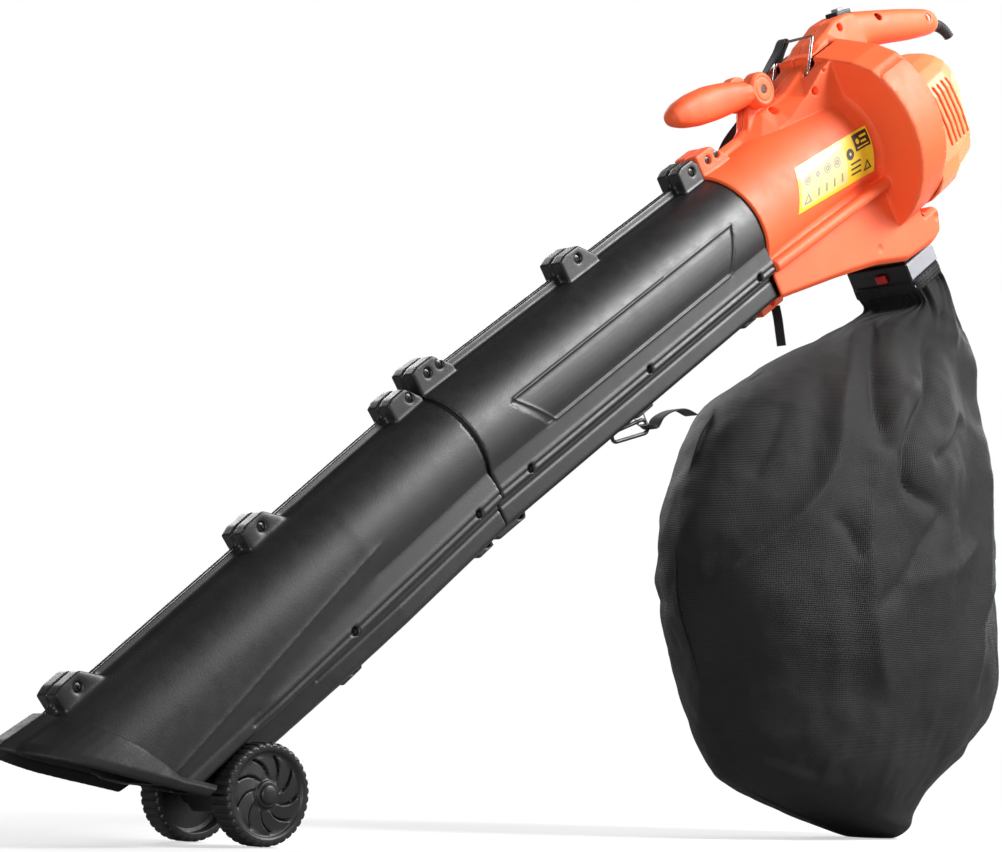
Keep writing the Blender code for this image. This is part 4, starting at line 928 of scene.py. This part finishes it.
def crease_depth(points, angles):
    """How far each point is drawn in (+) or pushed out (-) by the sewn and gathered folds."""
    total = np.zeros(len(points))
    outward = np.stack([np.cos(angles), np.sin(angles), np.zeros(len(angles))], axis=1)
    heights, *ring_sizes = zip(*BAG_RINGS)
    for line, deep, width, lean in CREASES:
        path = []
        for angle, height in line:
            turn = math.radians(angle)
            middle, long, wide = (float(np.interp(height, heights, sizes)) for sizes in ring_sizes)
            path.append((JOINT.x + middle + long * math.cos(turn), wide * math.sin(turn), height))
        path = np.array(smooth_line(path, 40))
        best = np.full(len(points), 9.0)
        side = np.zeros(len(points))
        share = np.zeros(len(points))
        for k in range(len(path) - 1):
            a, d = path[k], path[k + 1] - path[k]
            t = np.clip(((points - a) @ d) / (d @ d), 0, 1)
            away = points - a - t[:, None] * d
            far = np.linalg.norm(away, axis=1)
            closer = far < best
            best[closer] = far[closer]
            side[closer] = (np.cross(d, outward)[closer] * away[closer]).sum(axis=1)
            share[closer] = (k + t[closer]) / (len(path) - 1)
        fade = np.clip(share / 0.12, 0, 1) * np.clip((1 - share) / 0.18, 0, 1)
        signed = np.sign(side) * best / width
        sharp = np.exp(-1.35 * (np.sqrt(signed ** 2 + 0.012) - 0.11))
        shape = sharp - 0.45 * np.exp(-(signed - 1.7 * np.sign(lean)) ** 2) * abs(lean)
        total += deep * shape * np.sqrt(fade)
    return total


def bag_mesh():
    """The bag's cloth as one closed skin, with its folds, its gathers under the hem and loose wrinkles."""
    angles = [2 * math.pi * i / BAG_AROUND for i in range(BAG_AROUND)]
    columns = [smooth_line(bag_column(angle), BAG_UP) for angle in angles]
    grid = np.array(columns)
    flat = grid.reshape(-1, 3)
    turn = np.repeat(np.array(angles), BAG_UP + 1)
    height = flat[:, 2]
    inward = np.stack([-np.cos(turn) * 0.9, -np.sin(turn), np.zeros(len(turn))], axis=1)
    inward /= np.linalg.norm(inward, axis=1)[:, None]
    share = np.tile(np.linspace(0, 1, BAG_UP + 1), BAG_AROUND)
    folds = crease_depth(flat, turn)
    gather = np.clip((share - 0.74) / 0.12, 0, 1) * np.clip((0.965 - share) / 0.03, 0, 1)
    folds += gather * 0.0022 * (np.sin(turn * 17 + 1.3 * np.sin(turn * 3)) + 0.6 * np.sin(turn * 29 + 2.0))
    slack = np.array([noise.fractal(Vector(p) * 7.0, 1.0, 2.1, 4) for p in flat])
    small = np.array([noise.fractal(Vector((p[0] * 26, p[1] * 26, p[2] * 13)), 1.0, 2.0, 3) for p in flat])
    loose = np.clip(height / 0.05, 0, 1) * np.clip((0.95 - share) / 0.15, 0, 1)
    folds += loose * (0.0075 * slack + 0.0022 * small)
    hem = np.clip((share - 0.955) / 0.01, 0, 1)
    folds *= 1 - hem
    moved = flat + inward * folds[:, None]
    moved[:, 2] = np.maximum(moved[:, 2], 0.0)
    grid = moved.reshape(BAG_AROUND, BAG_UP + 1, 3)
    work = bmesh.new()
    verts = [[work.verts.new(place) for place in column] for column in grid]
    uv = work.loops.layers.uv.new("cloth")
    for i in range(BAG_AROUND):
        j = (i + 1) % BAG_AROUND
        for k in range(BAG_UP):
            face = work.faces.new((verts[i][k], verts[j][k], verts[j][k + 1], verts[i][k + 1]))
            for loop, (column, row) in zip(face.loops, ((i, k), (i + 1, k), (i + 1, k + 1), (i, k + 1))):
                loop[uv].uv = (column / BAG_AROUND * 0.90, row / BAG_UP * 0.72)
    work.faces.new([verts[i][0] for i in range(BAG_AROUND)])
    return from_bmesh(work)


def add_bag():
    def modifiers(holder):
        thick = holder.modifiers.new("Cloth thickness", "SOLIDIFY")
        thick.thickness = 0.0007
        thick.offset = -1.0
    cloth = evaluated(bag_mesh(), modifiers)
    bag = piece("leaf_bag_cloth", cloth, "machine", "bag_fabric", ROW, ["leaf_bag"])
    seam_piece = piece("bag_seam_piping", seam_mesh(), "machine", "bag_fabric", ROW)
    hem_piece = piece("bag_hem", hem_mesh(), "machine", "bag_fabric", MACHINE)


def seam_mesh():
    """The piped edge where the bag's two panels are sewn together, along its front."""
    turn = math.radians(180)
    column = smooth_line(bag_column(turn), 160)[18:152]
    points = [Vector(place) + Vector((0.0004, 0, 0)) for place in column]
    angles = np.full(len(points), turn)
    drawn = crease_depth(np.array(points), angles)
    return tube_along([point + Vector((draw, 0, 0)) for point, draw in zip(points, drawn)], 0.0013, 8)


def hem_mesh():
    """The hem that grips the collar: a folded band, slightly puckered along its outside."""
    work = bmesh.new()
    profile = (                  # half length, half width, up
        (0.0278, 0.0420, -0.1800), (0.0290, 0.0432, -0.1802), (0.0298, 0.0440, -0.1790),
        (0.0299, 0.0441, -0.1735), (0.0298, 0.0440, -0.1685), (0.0290, 0.0432, -0.1668),
        (0.0279, 0.0421, -0.1666), (0.0272, 0.0414, -0.1670), (0.0271, 0.0412, -0.1735),
        (0.0272, 0.0414, -0.1795),
    )
    steps = 160
    rings = []
    for i in range(steps):
        angle = 2 * math.pi * i / steps
        pucker = 0.0003 * math.sin(angle * 46)
        along = math.copysign(abs(math.cos(angle)) ** 0.35, math.cos(angle))
        across = math.copysign(abs(math.sin(angle)) ** 0.35, math.sin(angle))
        rings.append([work.verts.new((NECK_MIDDLE + (a + pucker * (k in (2, 3, 4))) * along,
                                      (b + pucker * (k in (2, 3, 4))) * across, up))
                      for k, (a, b, up) in enumerate(profile)])
    uv = work.loops.layers.uv.new("cloth")
    for i in range(steps):
        first, second = rings[i], rings[(i + 1) % steps]
        for k in range(len(profile)):
            n = (k + 1) % len(profile)
            face = work.faces.new((first[k], first[n], second[n], second[k]))
            for loop, (column, row) in zip(face.loops, ((i, k), (i, k + 1), (i + 1, k + 1), (i + 1, k))):
                loop[uv].uv = (column / steps * 0.26, row * 0.002)
    return from_bmesh(work)


def strap_mesh(path, facing, half_widths, thickness, count=120):
    """Webbing along a smooth path. facing says which way its flat side looks at each of the points."""
    shares = np.linspace(0, 1, len(half_widths))
    line = [Vector(p) for p in smooth_line(path, count)]
    looks = [Vector(p).normalized() for p in smooth_line(facing, count)]
    work = bmesh.new()
    uv = work.loops.layers.uv.new("cloth")
    across_steps = 10
    rows, lengths, length = [], [], 0.0
    for i, point in enumerate(line):
        along = (line[min(i + 1, count)] - line[max(i - 1, 0)]).normalized()
        side = along.cross(looks[i]).normalized()
        normal = side.cross(along).normalized()
        if i:
            length += (point - line[i - 1]).length
        lengths.append(length)
        row = []
        half_width = float(np.interp(i / count, shares, half_widths))
        for face_side in (1, -1):
            for k in range(across_steps + 1):
                share = (2 * k / across_steps - 1) * face_side
                edge = math.sqrt(max(1 - abs(share) ** 8, 0.0))
                row.append(work.verts.new(point + side * half_width * share
                                          + normal * face_side * thickness / 2 * (0.35 + 0.65 * edge)))
        rows.append(row)
    count_around = len(rows[0])
    for i in range(count):
        for k in range(count_around):
            n = (k + 1) % count_around
            face = work.faces.new((rows[i][k], rows[i][n], rows[i + 1][n], rows[i + 1][k]))
            for loop, (row, column) in zip(face.loops, ((i, k), (i, k + 1), (i + 1, k + 1), (i + 1, k))):
                loop[uv].uv = (column * 2 * half_widths[-1] / across_steps, lengths[row])
    work.faces.new(rows[0])
    work.faces.new(rows[-1])
    return from_bmesh(work)


def add_straps():
    path = (                     # round the ring's far bar, and down the far side to the anchor
        (0.6560, 0.0172, 0.1005), (0.6660, 0.0172, 0.1070), (0.6760, 0.0172, 0.1122),
        (0.6788, 0.0172, 0.1155), (0.6745, 0.0175, 0.1178), (0.6620, 0.0195, 0.1095),
        (0.6450, 0.0265, 0.0985), (0.6200, 0.0335, 0.0835), (0.5920, 0.0415, 0.0660),
        (0.5650, 0.0530, 0.0480), (0.5510, 0.0625, 0.0250), (0.5455, 0.0662, 0.0000),
        (0.5500, 0.0677, -0.0260), (0.5650, 0.0692, -0.0500), (0.5900, 0.0715, -0.0720),
        (0.6240, 0.0740, -0.0890), (0.6500, 0.0745, -0.0985), (0.6740, 0.0735, -0.1035),
        (0.6915, 0.0680, -0.1115),
    )
    facing = (
        (0.5, 0, -1), (0.5, 0, -1), (0.6, 0, -0.8), (1, 0, 0.1), (-0.3, 0, 1), (-0.5, 0.1, 1), (-0.5, 0.4, 1),
        (-0.4, 0.6, 0.9), (-0.3, 0.8, 0.7), (-0.2, 1, 0.4), (-0.1, 1, 0.3), (0, 1, 0), (0, 1, -0.3),
        (0, 1, -0.5), (0, 1, -0.8), (0, 1, -1.1), (0, 1, -1.2), (0, 1, -1.3), (0, 1, -1.5),
    )
    half_widths = [0.0058] * 5 + [0.0070, 0.0100] + [0.0115] * 12
    strap = strap_mesh(path, facing, half_widths, 0.0018, 240)
    strap = piece("shoulder_strap_webbing", strap, None, "webbing", MACHINE, ["shoulder_strap"])
    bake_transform(strap)
    hook = ((0.2490, 0, -0.1110), (0.2545, 0, -0.1170), (0.2680, 0, -0.1130), (0.2840, 0, -0.1150),
            (0.3000, 0, -0.1220), (0.3110, 0, -0.1340))
    strap = strap_mesh(hook, [(0, 0, 1)] * 4 + [(0.6, 0, 1), (1, 0, 0.6)], [0.0090, 0.0090], 0.0018)
    piece("hook_strap_webbing", strap, "machine", "webbing", MACHINE, ["hook_strap"])
    front = ((0.4860, 0, -0.1030), (0.4820, 0, -0.1160), (0.4765, 0, -0.1290), (0.4710, 0, -0.1420))
    strap = strap_mesh(front, [(-1, 0, -0.3)] * 4, [0.0060, 0.0060], 0.0015)
    piece("front_strap_webbing", strap, "machine", "webbing", MACHINE, ["front_strap"])


def add_snap_hook():
    hook = relaxed(remeshed(cad_copy("snap_hook", MACHINE), 0.0004), 4)
    shown_as("snap_hook", lightened(hook, 0.5), MACHINE)


# ---- scene ---------------------------------------------------------------------------------------------


def finish_cad_nodes():
    for node, shown in NODES.items():
        for slot in shown.material_slots:
            slot.material = FINISH[SLOT_OF[node]]


def add_stage():
    """A pale floor that fades into the plain white of the backdrop away from the machine."""
    half_size = 30.0
    near, away = 0.45, 1.0       # where the fade starts and ends, in metres from the middle
    work = bmesh.new()
    bmesh.ops.create_grid(work, x_segments=8, y_segments=8, size=half_size)
    floor = bpy.data.objects.new("studio_floor", from_bmesh(work))
    bpy.context.scene.collection.objects.link(floor)
    material, tree, shader = start("pale_floor")
    where = add(tree, "TexCoord").outputs["Object"]
    shade = spots(tree, where, 3.0, 3.0)
    seen = add(tree, "LightPath").outputs["Is Camera Ray"]
    pale = mixed(tree, shade, (0.90, 0.90, 0.90, 1), (0.93, 0.93, 0.93, 1))
    tree.links.new(mixed(tree, seen, (0.30, 0.30, 0.30, 1), pale), shader.inputs["Base Color"])
    shader.inputs["Roughness"].default_value = 0.9
    shader.inputs["Specular IOR Level"].default_value = 0.1
    far = add(tree, "VectorMath", {0: where}, operation="LENGTH").outputs["Value"]
    fade = between(tree, far, near, away, 0.55, 1.0)
    share = add(tree, "Math", {0: fade, 1: seen}, operation="MULTIPLY").outputs[0]
    white = add(tree, "Emission", {"Color": (1, 1, 1, 1), "Strength": 1.0}).outputs[0]
    blend = add(tree, "MixShader", {0: share, 1: shader.outputs[0], 2: white}).outputs[0]
    tree.links.new(blend, tree.nodes["Material Output"].inputs["Surface"])
    floor.data.materials.append(material)
    floor.location.z = -0.0006


def add_light(name, place, aim, size, power):
    """A soft rectangular light, with its size in metres and its power in watts."""
    data = bpy.data.lights.new(name, "AREA")
    data.shape = "RECTANGLE"
    data.size, data.size_y = size
    data.energy = power
    made = bpy.data.objects.new(name, data)
    made.location = place
    made.rotation_euler = (Vector(aim) - Vector(place)).to_track_quat("-Z", "Y").to_euler()
    bpy.context.scene.collection.objects.link(made)


def add_lights():
    world = bpy.data.worlds.new("studio")
    bpy.context.scene.world = world
    world.use_nodes = True
    tree = world.node_tree
    seen = tree.nodes.new("ShaderNodeLightPath").outputs["Is Camera Ray"]
    strength = between(tree, seen, 0.0, 1.0, 0.10, 1.0)
    tree.links.new(strength, tree.nodes["Background"].inputs["Strength"])
    tree.nodes["Background"].inputs["Color"].default_value = (1, 1, 1, 1)
    bpy.context.scene.view_settings.view_transform = "Standard"
    middle = (0.05, 0, 0.45)
    add_light("key", (1.30, -1.55, 2.1), (0.3, 0, 0.65), (1.2, 0.9), 116)
    add_light("low", (1.5, -1.3, 0.95), (0.35, 0, 0.6), (0.8, 0.6), 9)
    add_light("left", (-2.4, -1.4, 0.45), (0.4, 0, 0.7), (0.8, 0.8), 36)
    add_light("back", (0.6, 2.4, 1.8), middle, (1.6, 1.2), 55)
    add_light("right", (2.6, 0.6, 1.4), middle, (0.9, 1.4), 40)


def add_camera():
    """At the height of the wheels, looking up the machine from its nozzle end."""
    heading, climb, roll = math.radians(42.78), math.radians(7.283), math.radians(1.414)
    ahead_of_joint, aside, height = -1.4710, -1.671, 0.0855
    data = bpy.data.cameras.new("camera")
    data.sensor_fit = "HORIZONTAL"
    data.sensor_width = 36.0
    data.lens = 89.82
    data.clip_end = 100.0
    camera = bpy.data.objects.new("camera", data)
    camera.matrix_world = (Matrix.Translation((ahead_of_joint + JOINT.x, aside, height))
                           @ Matrix.Rotation(-heading, 4, "Z")
                           @ Matrix.Rotation(math.pi / 2 + climb, 4, "X")
                           @ Matrix.Rotation(roll, 4, "Z"))
    bpy.context.scene.collection.objects.link(camera)
    bpy.context.scene.camera = camera


finish_cad_nodes()
add_tubes()
add_wheels()
add_housing()
add_front_handle()
add_small_mouldings()
add_strap_ring()
add_snap_hook()
add_screws()
add_label()
add_collar_side_highlight()
add_bag()
add_straps()
add_stage()
add_lights()
add_camera()
